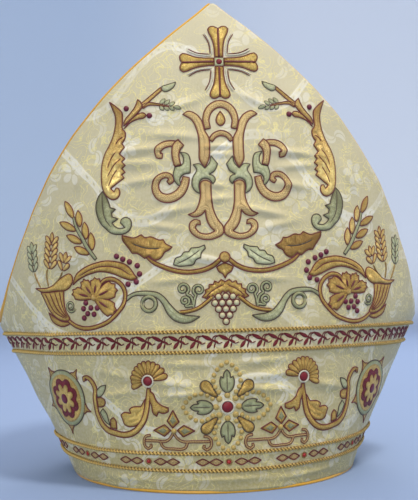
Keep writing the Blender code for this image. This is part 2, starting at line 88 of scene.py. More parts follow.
# Soft ridges where stitches draw the brocade in.
PUCKER_HEIGHT = 3.6
PUCKERS = (
    # u, z, half length, half width, tilt in degrees, share of PUCKER_HEIGHT
    (0.0, 207.5, 7.0, 1.5, 3, 0.7), (1.0, 203.0, 6.0, 1.6, -4, 0.5), (0.0, 176.0, 6.0, 1.8, 5, 0.5),
    (0.0, 184.0, 5.0, 1.6, -5, 0.4), (-26.0, 215.0, 16.0, 2.5, -6, 0.5), (-48.0, 207.0, 14.0, 2.2, 4, 0.6),
    (-50.0, 199.0, 12.0, 2.5, -3, 0.5), (-47.0, 188.0, 12.0, 2.2, 8, 0.5),
    (48.0, 204.0, 14.0, 2.2, -6, 0.6), (50.0, 196.0, 12.0, 2.4, 5, 0.5), (46.0, 184.0, 12.0, 2.6, -8, 0.5),
    (-30.0, 169.0, 14.0, 2.2, 10, 0.5), (28.0, 168.0, 14.0, 2.2, -12, 0.6),
    (-34.0, 160.0, 10.0, 2.0, -10, 0.4), (36.0, 160.0, 12.0, 2.2, 12, 0.4),
    (-86.0, 192.0, 10.0, 3.0, 60, 0.5), (88.0, 190.0, 10.0, 3.0, -60, 0.5),
    (-20.0, 234.0, 12.0, 2.4, 20, 0.4), (24.0, 236.0, 12.0, 2.4, -24, 0.4),
    (-24.0, 60.0, 12.0, 2.0, 4, 0.6), (-28.0, 66.0, 12.0, 2.4, -8, 0.5), (26.0, 62.0, 12.0, 2.0, -5, 0.6),
    (28.0, 70.0, 12.0, 2.4, 6, 0.5), (-66.0, 60.0, 12.0, 2.4, 12, 0.5), (-68.0, 72.0, 12.0, 2.6, -10, 0.4),
    (68.0, 62.0, 12.0, 2.4, -12, 0.5), (-20.0, 78.0, 16.0, 2.2, -3, 0.4), (24.0, 79.0, 16.0, 2.2, 4, 0.4),
    (-8.0, 140.0, 12.0, 2.0, -8, 0.4), (-94.0, 142.0, 10.0, 2.4, 40, 0.4),
    (-30.0, 128.0, 10.0, 1.8, 6, 0.4), (30.0, 128.0, 10.0, 1.8, -6, 0.4), (0.0, 9.0, 30.0, 2.0, 1, 0.4),
    (-60.0, 8.0, 24.0, 2.0, -2, 0.4), (55.0, 8.0, 24.0, 2.0, 2, 0.4), (-118.0, 92.0, 12.0, 3.0, 30, 0.5),
)

# Broad unevenness of the cloth.
WAVES = (
    # height, lengths along u and z for one radian, start on the front, start on the back
    (0.28, 13.0, 21.0, 0.0, 2.1),
    (0.22, 23.0, -11.0, 1.0, 3.1),
    (0.12, 5.3, -8.1, 2.0, 2.0),
    (0.10, 17.0, 4.3, 0.0, 0.0),
)


# ---------------------------------------------------------------- the surface of a horn
def curve_through(rows, at):
    """Smooth value at a place between rows of (place, value), which rise in place."""
    places = [row[0] for row in rows]
    values = [row[1] for row in rows]
    at = min(max(at, places[0]), places[-1])
    index = max(i for i in range(len(rows) - 1) if places[i] <= at)
    span = places[index + 1] - places[index]

    def slope(i):
        low, high = max(i - 1, 0), min(i + 1, len(rows) - 1)
        return (values[high] - values[low]) / (places[high] - places[low])

    t = (at - places[index]) / span
    rise = values[index + 1] - values[index]
    start, end = slope(index) * span, slope(index + 1) * span
    return values[index] + t * start + t * t * (3 * rise - 2 * start - end) + t**3 * (start + end - 2 * rise)


def front_line(z):
    """Reach of the front face at a height."""
    to_corner = (FRONT_AT_CORNER - RIM_RADIUS) / CORNER_HEIGHT
    to_tip = (FRONT_AT_TIP - RIM_RADIUS) / HEIGHT
    bend = (to_tip - to_corner) / (HEIGHT - CORNER_HEIGHT)
    return RIM_RADIUS + (to_corner - bend * CORNER_HEIGHT) * z + bend * z * z


def section_radius(z):
    """Radius of the horn's curve at a height."""
    level = np.minimum(z, CORNER_HEIGHT)
    reach = RIM_RADIUS + (CORNER_REACH - RIM_RADIUS) * level / CORNER_HEIGHT
    depth = front_line(level)
    above = np.maximum(z - CORNER_HEIGHT, 0.0)
    opening = OPENING_SLOPE * OPENING_LENGTH * (1 - np.exp(-above / OPENING_LENGTH))
    return (reach * reach + depth * depth) / (2 * depth) + opening


def bare(u, z):
    """Points on the smooth face, before the cloth's own unevenness."""
    radius = section_radius(z)
    angle = u / radius
    return np.stack([radius * np.sin(angle), radius - front_line(z) - radius * np.cos(angle), z + 0 * u], -1)


def lie(u, z, back):
    """How far the cloth stands off its smooth face: broad waves, and on the front the puckers."""
    stand = 0.0
    for height, length_u, length_z, front_start, back_start in WAVES:
        start = back_start if back else front_start
        stand = stand + height * np.sin(u / length_u + z / length_z + start)
    if back:
        return stand
    for at_u, at_z, length, width, tilt, share in PUCKERS:
        c, s = math.cos(math.radians(tilt)), math.sin(math.radians(tilt))
        along = ((u - at_u) * c + (z - at_z) * s) / length
        across = ((z - at_z) * c - (u - at_u) * s) / width
        stand = stand + PUCKER_HEIGHT * share * np.exp(-along * along) * np.exp(-across * across)
    return stand


def on_horn(u, z, out=0.0, back=False):
    """World points, in metres, of places on a horn."""
    u, z, out = np.broadcast_arrays(*(np.asarray(value, float) for value in (u, z, out)))
    step = 0.5
    normal = np.cross(bare(u + step, z) - bare(u - step, z), bare(u, z + step) - bare(u, z - step))
    normal /= np.linalg.norm(normal, axis=-1, keepdims=True)
    points = bare(u, z) + normal * (out + lie(u, z, back))[..., None]
    if back:
        points[..., :2] *= -1
    return points * MM


def seam_reach(z):
    """Distance round to the side seam, or to the pointed edge above the corners."""
    radius = float(section_radius(z))
    seam = math.acos((radius - front_line(z)) / radius) if front_line(z) < radius else math.pi / 2
    if z < CORNER_HEIGHT:
        return seam * radius
    return min(seam, math.asin(curve_through(OGIVE, z) / radius)) * radius


def line_height(line, u, reach):
    """Height round a horn of a line that drops or rises from its middle to its end at the reach."""
    return line[0] + (line[1] - line[0]) * (u / reach) ** 2


# ---------------------------------------------------------------- shader maths
class Socket:
    """A shader value that Python operators can work on."""

    def __init__(self, tree, link):
        self.tree, self.link = tree, link

    def math(self, operation, *others):
        return make_node(self.tree, "ShaderNodeMath", {"operation": operation}, [self, *others])

    def __add__(self, other):
        return self.math("ADD", other)

    __radd__ = __add__

    def __sub__(self, other):
        return self.math("SUBTRACT", other)

    def __rsub__(self, other):
        return make_node(self.tree, "ShaderNodeMath", {"operation": "SUBTRACT"}, [other, self])

    def __mul__(self, other):
        return self.math("MULTIPLY", other)

    __rmul__ = __mul__

    def __truediv__(self, other):
        return self.math("DIVIDE", other)

    def sin(self):
        return self.math("SINE")

    def abs(self):
        return self.math("ABSOLUTE")

    def clamp(self, low=0.0, high=1.0):
        return self.math("MAXIMUM", low).math("MINIMUM", high)

    def step(self, low, high):
        """0 below low, 1 above high and a soft rise between."""
        return make_node(
            self.tree, "ShaderNodeMapRange", {"interpolation_type": "SMOOTHSTEP"}, [self, low, high, 0.0, 1.0]
        )


def make_node(tree, kind, settings=None, values=(), output=0):
    """A node with its settings made first, then its sockets filled by place or by name."""
    node = tree.nodes.new(kind)
    for name, value in (settings or {}).items():
        setattr(node, name, value)
    for name, value in values.items() if isinstance(values, dict) else enumerate(values):
        if isinstance(value, Socket):
            tree.links.new(value.link, node.inputs[name])
        else:
            node.inputs[name].default_value = value
    return Socket(tree, node.outputs[output])


def as_light(colour):
    """A colour as the eye reads it, 0 to 255, turned into light."""
    return tuple(((c / 255 + 0.055) / 1.055) ** 2.4 if c > 10.3 else c / 255 / 12.92 for c in colour)


class Finish:
    """A material in the making, with the nodes that its look is worked out from."""

    def __init__(self, name, **fixed):
        self.material = bpy.data.materials.new(name)
        self.material.use_nodes = True
        self.tree = self.material.node_tree
        self.shader = self.tree.nodes["Principled BSDF"]
        for socket, value in fixed.items():
            self.shader.inputs[socket.replace("_", " ")].default_value = value

    def node(self, kind, settings=None, values=(), output=0):
        return make_node(self.tree, kind, settings, values, output)

    def parts(self, vector, count):
        """The first numbers of a vector, one by one."""
        return [self.node("ShaderNodeSeparateXYZ", None, [vector], output=i) for i in range(count)]

    def attribute(self, name, count=3):
        """The first numbers of a point attribute."""
        return self.parts(self.node("ShaderNodeAttribute", {"attribute_name": name}, output=1), count)

    def vector(self, x, y, z):
        return self.node("ShaderNodeCombineXYZ", None, [x, y, z])

    def coordinates(self):
        """The object's own coordinates, in metres."""
        return self.node("ShaderNodeTexCoord", output=3)

    def noise(self, vector, scale, detail=2.0, rough=0.5):
        values = {"Vector": vector, "Scale": scale, "Detail": detail, "Roughness": rough}
        return self.node("ShaderNodeTexNoise", None, values)

    def spots(self, vector, scale):
        """Distance from the nearest of many scattered spots."""
        return self.node("ShaderNodeTexVoronoi", None, {"Vector": vector, "Scale": scale})

    def mix(self, factor, first, second):
        """A blend of two colours: each is a socket, or red, green and blue from 0 to 255."""
        first, second = (c if isinstance(c, Socket) else (*as_light(c), 1.0) for c in (first, second))
        # A colour mix takes its factor at socket 0 and its colours at 6 and 7, and gives a colour at 2.
        return self.node("ShaderNodeMix", {"data_type": "RGBA"}, {0: factor, 6: first, 7: second}, output=2)

    def bump(self, height, distance, strength):
        values = {"Strength": strength, "Distance": distance, "Height": height}
        return self.node("ShaderNodeBump", None, values)

    def feed(self, **links):
        """Links values to the shader's sockets, and gives the finished material."""
        for socket, value in links.items():
            self.tree.links.new(value.link, self.shader.inputs[socket.replace("_", " ")])
        return self.material


# ---------------------------------------------------------------- finishes
# The brocade's ground runs from painted shade at its foot to painted light at its top.
BROCADE_SHADED_FOOT = (180, 163, 100)
BROCADE_LIT_TOP = (208, 195, 156)
BROCADE_LIGHT = (210, 197, 158)
DAMASK_PALE = (242, 235, 214)
GILT_THREAD = (240, 222, 138)
RIBBONS = (
    # middle height, swing, length, start, half width
    (52.0, 17.0, 40.0, 0.4, 3.4),
    (118.0, 24.0, 52.0, 2.2, 3.0),
    (190.0, 26.0, 44.0, 0.6, 3.4),
    (252.0, 20.0, 36.0, 2.9, 3.0),
)
RIBBON_DOT_PITCH = 4.4
GILT_COILS = (
    # scale of the noise that the thread winds through, width of the thread in it, levels that it follows
    (0.07, 0.011, (0.42, 0.5, 0.58)),
    (0.115, 0.014, (0.5,)),
)
RIB_PITCH_UP = 0.62
RIB_PITCH_ROUND = 0.9
SQUARE_PITCH_ALONG = 1.5
SQUARE_PITCH_IN = 1.3
# Painted light on the floor: darker near the middle, lighter far off, against the key lamp's fall-off.
FLOOR_SHADED_NEAR = ((138, 157, 190), (132, 151, 186))
FLOOR_LIT_FAR = ((188, 206, 230), (226, 235, 248))


def woven_ribbons(finish, u, z, place):
    """Arches that swing with u, each a pale strip with a row of small dark dots along its middle."""
    wander = (finish.noise(place, 0.02, 1.0) - 0.5) * 14.0
    beat = (u * (math.tau / RIBBON_DOT_PITCH)).sin().step(0.35, 0.8)
    ribbons = None
    for height, swing, length, start, width in RIBBONS:
        middle = (u / length * 2.0 + start).sin() * swing + height + wander
        off = (z - middle).abs()
        strip = 1.0 - (off - width).step(-0.5, 0.5)
        dots = beat * (1.0 - (off - width * 0.28).step(-0.4, 0.4))
        seams = 1.0 - (off - width * 0.72).abs().step(0.15, 0.4)
        look = strip * (0.85 - dots * 0.85 + seams * 0.3)
        ribbons = look if ribbons is None else ribbons.math("MAXIMUM", look)
    return ribbons


def round_middles(finish, place, scale, randomness):
    """Distance from the nearest of many scattered middles, and the angle round it."""
    values = {"Vector": place, "Scale": scale, "Randomness": randomness}
    middle = finish.node("ShaderNodeTexVoronoi", {"voronoi_dimensions": "2D"}, values, output=2)
    away = finish.node("ShaderNodeVectorMath", {"operation": "SUBTRACT"}, [place, middle])
    across, along = finish.parts(away, 2)
    reach = (across * across + along * along).math("SQRT")
    turn = along.math("ARCTAN2", across)
    return reach, turn + finish.parts(middle, 1)[0]


def woven_flowers(finish, place):
    """Small five-petalled flowers with an open middle."""
    reach, turn = round_middles(finish, place, 0.027, 0.9)
    wave = (turn * 2.5).sin().abs()
    flowers = 1.0 - (reach - wave.math("SQRT") * 8.4).step(-0.5, 0.5)
    return flowers * (reach - 1.5).step(-0.3, 0.3) * (wave * reach).step(0.5, 1.3)


def woven_leaves(finish, place):
    """Pairs of curving leaves."""
    reach, turn = round_middles(finish, place, 0.042, 1.0)
    curved = turn + reach * 0.16
    blade = curved.sin().abs()
    leaves = 1.0 - (reach - blade * blade * blade * 9.0).step(-0.4, 0.4)
    return leaves * ((curved - math.pi / 2).sin().abs() * reach).step(0.25, 0.6)


def gilt_lines(finish, u, z, place, grain):
    """Gilt thread that runs in loose scrolls, comes and goes, and sparkles."""
    bent = finish.vector(u + (grain - 0.5) * 0.6, z, 0.0)
    thread = None
    for scale, width, levels in GILT_COILS:
        coil = finish.noise(bent, scale, 1.0)
        for level in levels:
            line = 1.0 - (coil - level).abs().step(width * 0.35, width)
            thread = line if thread is None else thread.math("MAXIMUM", line)
    stitches = 0.35 + 0.65 * finish.noise(place, 1.2).step(0.42, 0.56)
    lines = thread * stitches * finish.noise(place, 0.04).step(0.38, 0.52)
    sparks = (1.0 - finish.spots(place, 1.3).step(0.06, 0.2)) * finish.noise(place, 0.1).step(0.5, 0.6)
    return (lines * 0.72 + sparks * 0.2).clamp()


def make_brocade():
    """Silk brocade: fine ribs, a woven pattern of ribbons, flowers and leaves, and lines of gilt thread."""
    finish = Finish("brocade", Sheen_Weight=0.1)
    u, z = finish.attribute("panel", 2)
    place = finish.vector(u, z, 0.0)
    fine = finish.noise(place, 0.55, 4.0, 0.62)
    broad = finish.noise(place, 0.035)
    grain = finish.noise(finish.vector(u * 0.7, z * 2.4, 0.0), 1.2)
    ribbons = woven_ribbons(finish, u, z, place)
    flowers, leaves = woven_flowers(finish, place), woven_leaves(finish, place)
    worn = 0.45 + 0.55 * finish.noise(place, 0.018, 1.0).step(0.4, 0.62)
    pattern = ((ribbons * 0.95 + flowers * 0.6 + leaves * 0.6) * worn).clamp()
    gilt = gilt_lines(finish, u, z, place, grain)

    # Painted light from above: the ground grows lighter towards the top, broken up by broad patches of tone.
    rise = (z / 290.0 + (broad - 0.5) * 0.5).clamp()
    ground = finish.mix(rise, BROCADE_SHADED_FOOT, BROCADE_LIT_TOP)
    ground = finish.mix(((fine - 0.34) * 1.6).clamp(), ground, BROCADE_LIGHT)
    woven = finish.mix((pattern * (0.3 + grain * 0.8)).clamp(), ground, DAMASK_PALE)
    ribs = (z * (math.tau / RIB_PITCH_UP)).sin() * 0.3 + (u * (math.tau / RIB_PITCH_ROUND)).sin() * 0.15
    return finish.feed(
        Base_Color=finish.mix(gilt, woven, GILT_THREAD),
        Roughness=0.58 - pattern * 0.12 - gilt * 0.22,
        Normal=finish.bump(ribs + grain * 0.9 + pattern * 0.6 + gilt * 0.8, 0.00018, 0.7),
    )


def make_satin(name, deep, bright):
    """Smooth satin: long floats of thread, and broad soft patches of painted sheen and shade."""
    finish = Finish(name, Sheen_Weight=0.2)
    place = finish.coordinates()
    broad = finish.noise(place, 20.0, 4.0)
    thread = finish.noise(place, 900.0)
    return finish.feed(
        Base_Color=finish.mix(((broad - 0.5) * 0.6 + thread * 0.5 + 0.35).clamp(), deep, bright),
        Roughness=0.26 + broad * 0.22,
        Normal=finish.bump(thread, 0.00012, 0.5),
    )


def make_silk(name, deep, middle, bright, gloss=0.42, metal=0.0, pitch=0.42, crossed=0.0):
    """Laid silk: each thread starts at the outline and runs in, with painted light on the raised middle of
    the shape and painted shade towards its outline.

    The attribute holds the distance along the outline, the depth inside it and a tone from 0 to 1."""
    finish = Finish(name, Metallic=metal)
    along, inside, tone = finish.attribute("thread")
    # Painted sheen in streaks along the threads; the streaks also set roughness and bumps.
    sheen_streak = finish.noise(finish.vector(along * 2.6, inside * 0.4, tone * 9.0), 1.0, 3.0, 0.65)
    patch = finish.noise(finish.vector(along * 0.2, inside * 0.3, tone * 5.0), 1.0)
    # Painted shade towards the outline, where the padding falls away, and painted light on its raised middle.
    lit_mound = inside.step(0.0, 1.8)
    first = finish.mix((lit_mound * 0.5 + tone * 0.6 - 0.05).clamp(), deep, middle)
    light = (sheen_streak - 0.46) * 2.6 + (patch - 0.5) * 1.4 + (tone - 0.4) * 1.1
    if crossed:
        # The thread is caught down in steps, so the silk glints in small squares.
        steps_in = ((inside + tone) * (math.tau / SQUARE_PITCH_IN)).sin()
        light = light + (along * (math.tau / SQUARE_PITCH_ALONG)).sin() * steps_in * crossed
    light = light.clamp()
    return finish.feed(
        Base_Color=finish.mix(light * (0.3 + lit_mound * 0.6), first, bright),
        Roughness=gloss + 0.2 - sheen_streak * 0.25,
        Normal=finish.bump((along * (math.tau / pitch)).sin() * 0.5 + sheen_streak, 0.00016, 0.9),
    )


def make_cord_finish(name, deep, bright, metal=0.0, twisted=False):
    """Spun thread: fine plies round a cord, with painted shade between them and where a twisted strand dips
    under.
    """
    finish = Finish(name, Metallic=metal)
    along, round_it, tone = finish.attribute("thread")
    ply = ((along * 2.4 + round_it * math.tau) * 2.0).sin() * 0.5 + 0.5
    wear = finish.noise(finish.vector(along * 0.8, round_it * 3.0, tone), 1.0, 3.0)
    share = (ply * 0.45 + wear * 0.8 - 0.1).clamp()
    if twisted:
        # Painted shade where a strand dips under the other, painted light where it rides on top.
        share = (share * 0.7 + (tone * math.tau).sin() * 0.55 + 0.1).clamp()
    return finish.feed(
        Base_Color=finish.mix(share, deep, bright),
        Roughness=0.34 + wear * 0.25,
        Normal=finish.bump(ply, 0.0001, 0.7),
    )


def make_stone(name, deep, bright, gloss=0.35):
    """Beads, berries and stones: one colour, a little mottled, with painted light towards the top of each
    dome.
    """
    finish = Finish(name)
    along, inside, tone = finish.attribute("thread")
    mottle = finish.noise(finish.vector(along, inside, tone * 7.0), 0.9)
    # The depth inside the outline lightens the colour: painted light towards the top of the dome.
    return finish.feed(
        Base_Color=finish.mix((mottle * 0.7 + inside * 0.12).clamp(), deep, bright),
        Roughness=gloss + mottle * 0.15,
        Normal=finish.bump(mottle, 0.0001, 0.4),
    )


def make_floor_finish():
    """A floor that grows lighter with distance, painted light against the key lamp's fall-off, into a wall
    that is paler to the east.
    """
    finish = Finish("studio_floor", Roughness=0.85)
    place = finish.coordinates()
    east, north = finish.parts(place, 2)
    away = (east * east + north * north).math("SQRT")
    near = finish.mix(finish.noise(place, 3.0, 3.0) * 0.3, *FLOOR_SHADED_NEAR)
    far = finish.mix(east.step(-0.5, 1.1), *FLOOR_LIT_FAR)
    return finish.feed(Base_Color=finish.mix(away.step(1.1, 4.2), near, far))


FINISHES = {
    "brocade": make_brocade(),
    "lining": make_satin("lining", (186, 172, 132), (206, 195, 160)),
    "satin": make_satin("golden_satin", (176, 116, 12), (236, 180, 52)),
    "gold": make_silk(
        "gold_silk", (134, 94, 36), (198, 154, 72), (250, 216, 120), gloss=0.29, metal=0.38
    ),
    "brown": make_silk(
        "deep_gold_silk", (122, 86, 36), (178, 134, 60), (230, 189, 98), gloss=0.33, metal=0.3
    ),
    "yellow": make_silk(
        "yellow_silk", (140, 100, 45), (213, 167, 88), (255, 226, 138), gloss=0.3, metal=0.35
    ),
    "tan": make_silk(
        "tan_silk", (142, 106, 56), (187, 149, 92), (240, 210, 138), metal=0.15, pitch=0.7, crossed=1.2
    ),
    "sage": make_silk("sage_silk", (102, 98, 60), (158, 155, 106), (212, 210, 158)),
    "pale": make_silk("pale_green_silk", (138, 139, 93), (184, 183, 132), (225, 222, 174)),
    "maroon": make_silk("maroon_silk", (92, 6, 16), (126, 16, 26), (156, 36, 40)),
    "white": make_cord_finish("white_thread", (188, 176, 144), (232, 222, 196)),
    "outline": make_cord_finish("maroon_outline", (78, 18, 20), (126, 48, 42)),
    "dark": make_cord_finish("dark_outline", (54, 40, 30), (94, 76, 56)),
    "gilt": make_cord_finish("gold_cord", (104, 76, 30), (210, 174, 94), metal=0.15, twisted=True),
    "stone": make_stone("red_stone", (90, 4, 12), (142, 14, 24), gloss=0.42),
    "coral": make_stone("coral_stone", (146, 28, 20), (196, 54, 36), gloss=0.25),
    "berry": make_stone("maroon_berry", (72, 4, 26), (124, 18, 48)),
    "grape": make_stone("pale_grape", (176, 164, 112), (222, 212, 170)),
    "bead": make_stone("gold_bead", (142, 112, 44), (214, 184, 104)),
    "floor": make_floor_finish(),
}


# ---------------------------------------------------------------- paths on the panel
def smooth(points, closed=True, step=0.7, corner=62.0):
    """A dense path through rows of points, rounded but for corners sharper than an angle in degrees."""
    rows = np.array(points, float)
    ahead, behind = np.roll(rows, -1, 0) - rows, rows - np.roll(rows, 1, 0)
    if not closed:
        ahead[-1], behind[0] = behind[-1], ahead[0]
    length = np.linalg.norm(ahead, axis=1, keepdims=True)
    ahead_way, behind_way = ahead / length, behind / np.linalg.norm(behind, axis=1, keepdims=True)
    mean = ahead_way + behind_way
    mean /= np.maximum(np.linalg.norm(mean, axis=1, keepdims=True), 1e-6)
    sharp = (ahead_way * behind_way).sum(1, keepdims=True) < math.cos(math.radians(corner))
    leaving, coming = np.where(sharp, ahead_way, mean), np.where(sharp, behind_way, mean)
    path = []
    for i in range(len(rows) if closed else len(rows) - 1):
        j = (i + 1) % len(rows)
        t = np.linspace(0, 1, max(2, math.ceil(length[i, 0] / step)), endpoint=False)[:, None]
        path.append(
            (2 * t**3 - 3 * t**2 + 1) * rows[i]
            + (t**3 - 2 * t**2 + t) * length[i] * leaving[i]
            + (3 * t**2 - 2 * t**3) * rows[j]
            + (t**3 - t**2) * length[i] * coming[j]
        )
    if not closed:
        path.append(rows[-1:])
    return np.concatenate(path)


def ways(path, closed=True):
    """Unit direction of a path at each of its points."""
    way = np.roll(path, -1, 0) - np.roll(path, 1, 0)
    if not closed:
        way[0], way[-1] = path[1] - path[0], path[-1] - path[-2]
    return way / np.maximum(np.linalg.norm(way, axis=1, keepdims=True), 1e-9)


def band(rows, step=0.8):
    """The outline of a band along a spine: rows of u, z and width."""
    spine = smooth(rows, closed=False, step=step)
    way = ways(spine[:, :2], closed=False)
    across = np.stack([-way[:, 1], way[:, 0]], 1) * spine[:, 2:] / 2
    return np.concatenate([spine[:, :2] + across, (spine[:, :2] - across)[::-1]])


def spaced(path, pitch):
    """Places along an open path, evenly spaced at about the pitch, both ends included."""
    run = np.concatenate([[0], np.cumsum(np.linalg.norm(np.diff(path, axis=0), axis=1))])
    at = np.linspace(0, run[-1], max(2, round(run[-1] / pitch) + 1))
    return np.stack([np.interp(at, run, path[:, 0]), np.interp(at, run, path[:, 1])], 1)


def leaf(foot_u, foot_z, tip_u, tip_z, width, belly=0.45, blunt=0.0):
    """The outline of a leaf or petal from its foot to its tip."""
    foot, tip = np.array((foot_u, foot_z)), np.array((tip_u, tip_z))
    across = np.array((foot[1] - tip[1], tip[0] - foot[0])) / np.linalg.norm(tip - foot) * width / 2
    shares = (
        (0.0, 0.12), (belly * 0.5, 0.78), (belly, 1.0), (0.5 + belly / 2, 0.8 + blunt * 0.2),
        (0.94, 0.25 + blunt * 0.5), (1.0, 0.0),
    )
    right = [foot + (tip - foot) * share - across * wide for share, wide in shares]
    left = [foot + (tip - foot) * share + across * wide for share, wide in reversed(shares[:-1])]
    return smooth(right + left, step=0.6, corner=75)


def circle(u, z, radius, points=20):
    turn = np.arange(points) * math.tau / points
    return np.stack([u + radius * np.cos(turn), z + radius * np.sin(turn)], 1)


def spiral(u, z, outer, inner, turns, start, turning=1, points=26):
    """An open curl from its outer end, at start degrees, in to its middle."""
    share = np.linspace(0, 1, points)
    angle = math.radians(start) + turning * turns * math.tau * share
    radius = outer + (inner - outer) * share
    return np.stack([u + radius * np.cos(angle), z + radius * np.sin(angle)], 1)


def polar(centre, radius, degrees):
    angle = math.radians(degrees)
    return (centre[0] + radius * math.cos(angle), centre[1] + radius * math.sin(angle))


def turned(rows, centre, degrees, squash=1.0):
    """Rows of u and z from rows along and off an axis, which leaves the centre at an angle."""
    c, s = math.cos(math.radians(degrees)), math.sin(math.radians(degrees))
    return np.array([(centre[0] + a * c - w * s, centre[1] + (a * s + w * c) * squash) for a, w in rows])


def both_sides(rows):
    """A whole outline about its axis, from rows of place along it and half width that end at the tip."""
    return [(a, -w) for a, w in rows] + [(a, w) for a, w in reversed(rows[:-1])]


def near_path(path, points, closed=True):
    """Distance to a path, distance along it to the nearest place, and that place."""
    starts, ends = path, np.roll(path, -1, 0)
    if not closed:
        starts, ends = starts[:-1], ends[:-1]
    spans = ends - starts
    lengths = np.linalg.norm(spans, axis=1)
    before = np.concatenate([[0], np.cumsum(lengths)[:-1]])
    best = np.full(len(points), 1e9)
    along, nearest = np.zeros(len(points)), np.zeros_like(points)
    for start, span, length, run in zip(starts, spans, lengths, before):
        share = np.clip((points - start) @ span / max(length * length, 1e-12), 0, 1)
        place = start + share[:, None] * span
        away = np.linalg.norm(points - place, axis=1)
        closer = away < best
        best[closer] = away[closer]
        along[closer] = (run + share * length)[closer]
        nearest[closer] = place[closer]
    return best, along, nearest


def is_inside(path, points):
    starts, ends = path, np.roll(path, -1, 0)
    inside = np.zeros(len(points), bool)
    for (u0, z0), (u1, z1) in zip(starts, ends):
        spans = (z0 > points[:, 1]) != (z1 > points[:, 1])
        if spans.any():
            cut = u0 + (points[:, 1] - z0) / (z1 - z0 if z1 != z0 else 1e-9) * (u1 - u0)
            inside ^= spans & (points[:, 0] < cut)
    return inside


# ---------------------------------------------------------------- pieces of embroidery
# The edge of padded silk is sunk this far into the cloth.
PADDING_SINK = 0.12
# A crease in padded silk: its depth as a share of the height, and its half width.
CREASE_DEPTH = 0.45
CREASE_WIDTH = 0.55
# The middle of a couched thread stands this share of its radius above the cloth.
THREAD_STAND = 0.6
GUARD_RADIUS = 0.24
GUARD_GAP = 0.2


def put_in_scene(name, data):
    obj = bpy.data.objects.new(name, data)
    bpy.context.scene.collection.objects.link(obj)
    return obj


def put_mesh(name, points, faces, looks, attribute=None):
    """An object of points in metres, with its finishes and an optional attribute for the shader."""
    mesh = bpy.data.meshes.new(name)
    mesh.from_pydata(points.reshape(-1, 3).tolist(), [], faces)
    if attribute:
        layer = mesh.attributes.new(attribute[0], "FLOAT_VECTOR", "POINT")
        layer.data.foreach_set("vector", attribute[1].astype(np.float32).ravel())
    for look in looks:
        mesh.materials.append(FINISHES[look])
    mesh.shade_smooth()
    return put_in_scene(name, mesh)


def put_grid(name, points, looks, attribute=None):
    """An object of quads between rows of points."""
    rows, columns = points.shape[:2]
    index = np.arange(rows * columns).reshape(rows, columns)
    quads = np.stack([index[:-1, :-1], index[:-1, 1:], index[1:, 1:], index[1:, :-1]], -1).reshape(-1, 4)
    return put_mesh(name, points, quads.tolist(), looks, attribute)


def tube_faces(count, sides, closed):
    """Quads round a tube of rings, from each ring to the next."""
    faces = []
    for i in range(count if closed else count - 1):
        here, ahead = i * sides, (i + 1) % count * sides
        for k in range(sides):
            m = (k + 1) % sides
            faces.append((here + k, here + m, ahead + m, ahead + k))
    return faces


def settle(obj, slot, *nodes):
    """Rides a finished piece on the mitre, in the place of its CAD nodes."""
    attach(obj, "root")
    if nodes:
        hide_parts(*nodes)


def by_side(side, left, right):
    return left if side < 0 else right


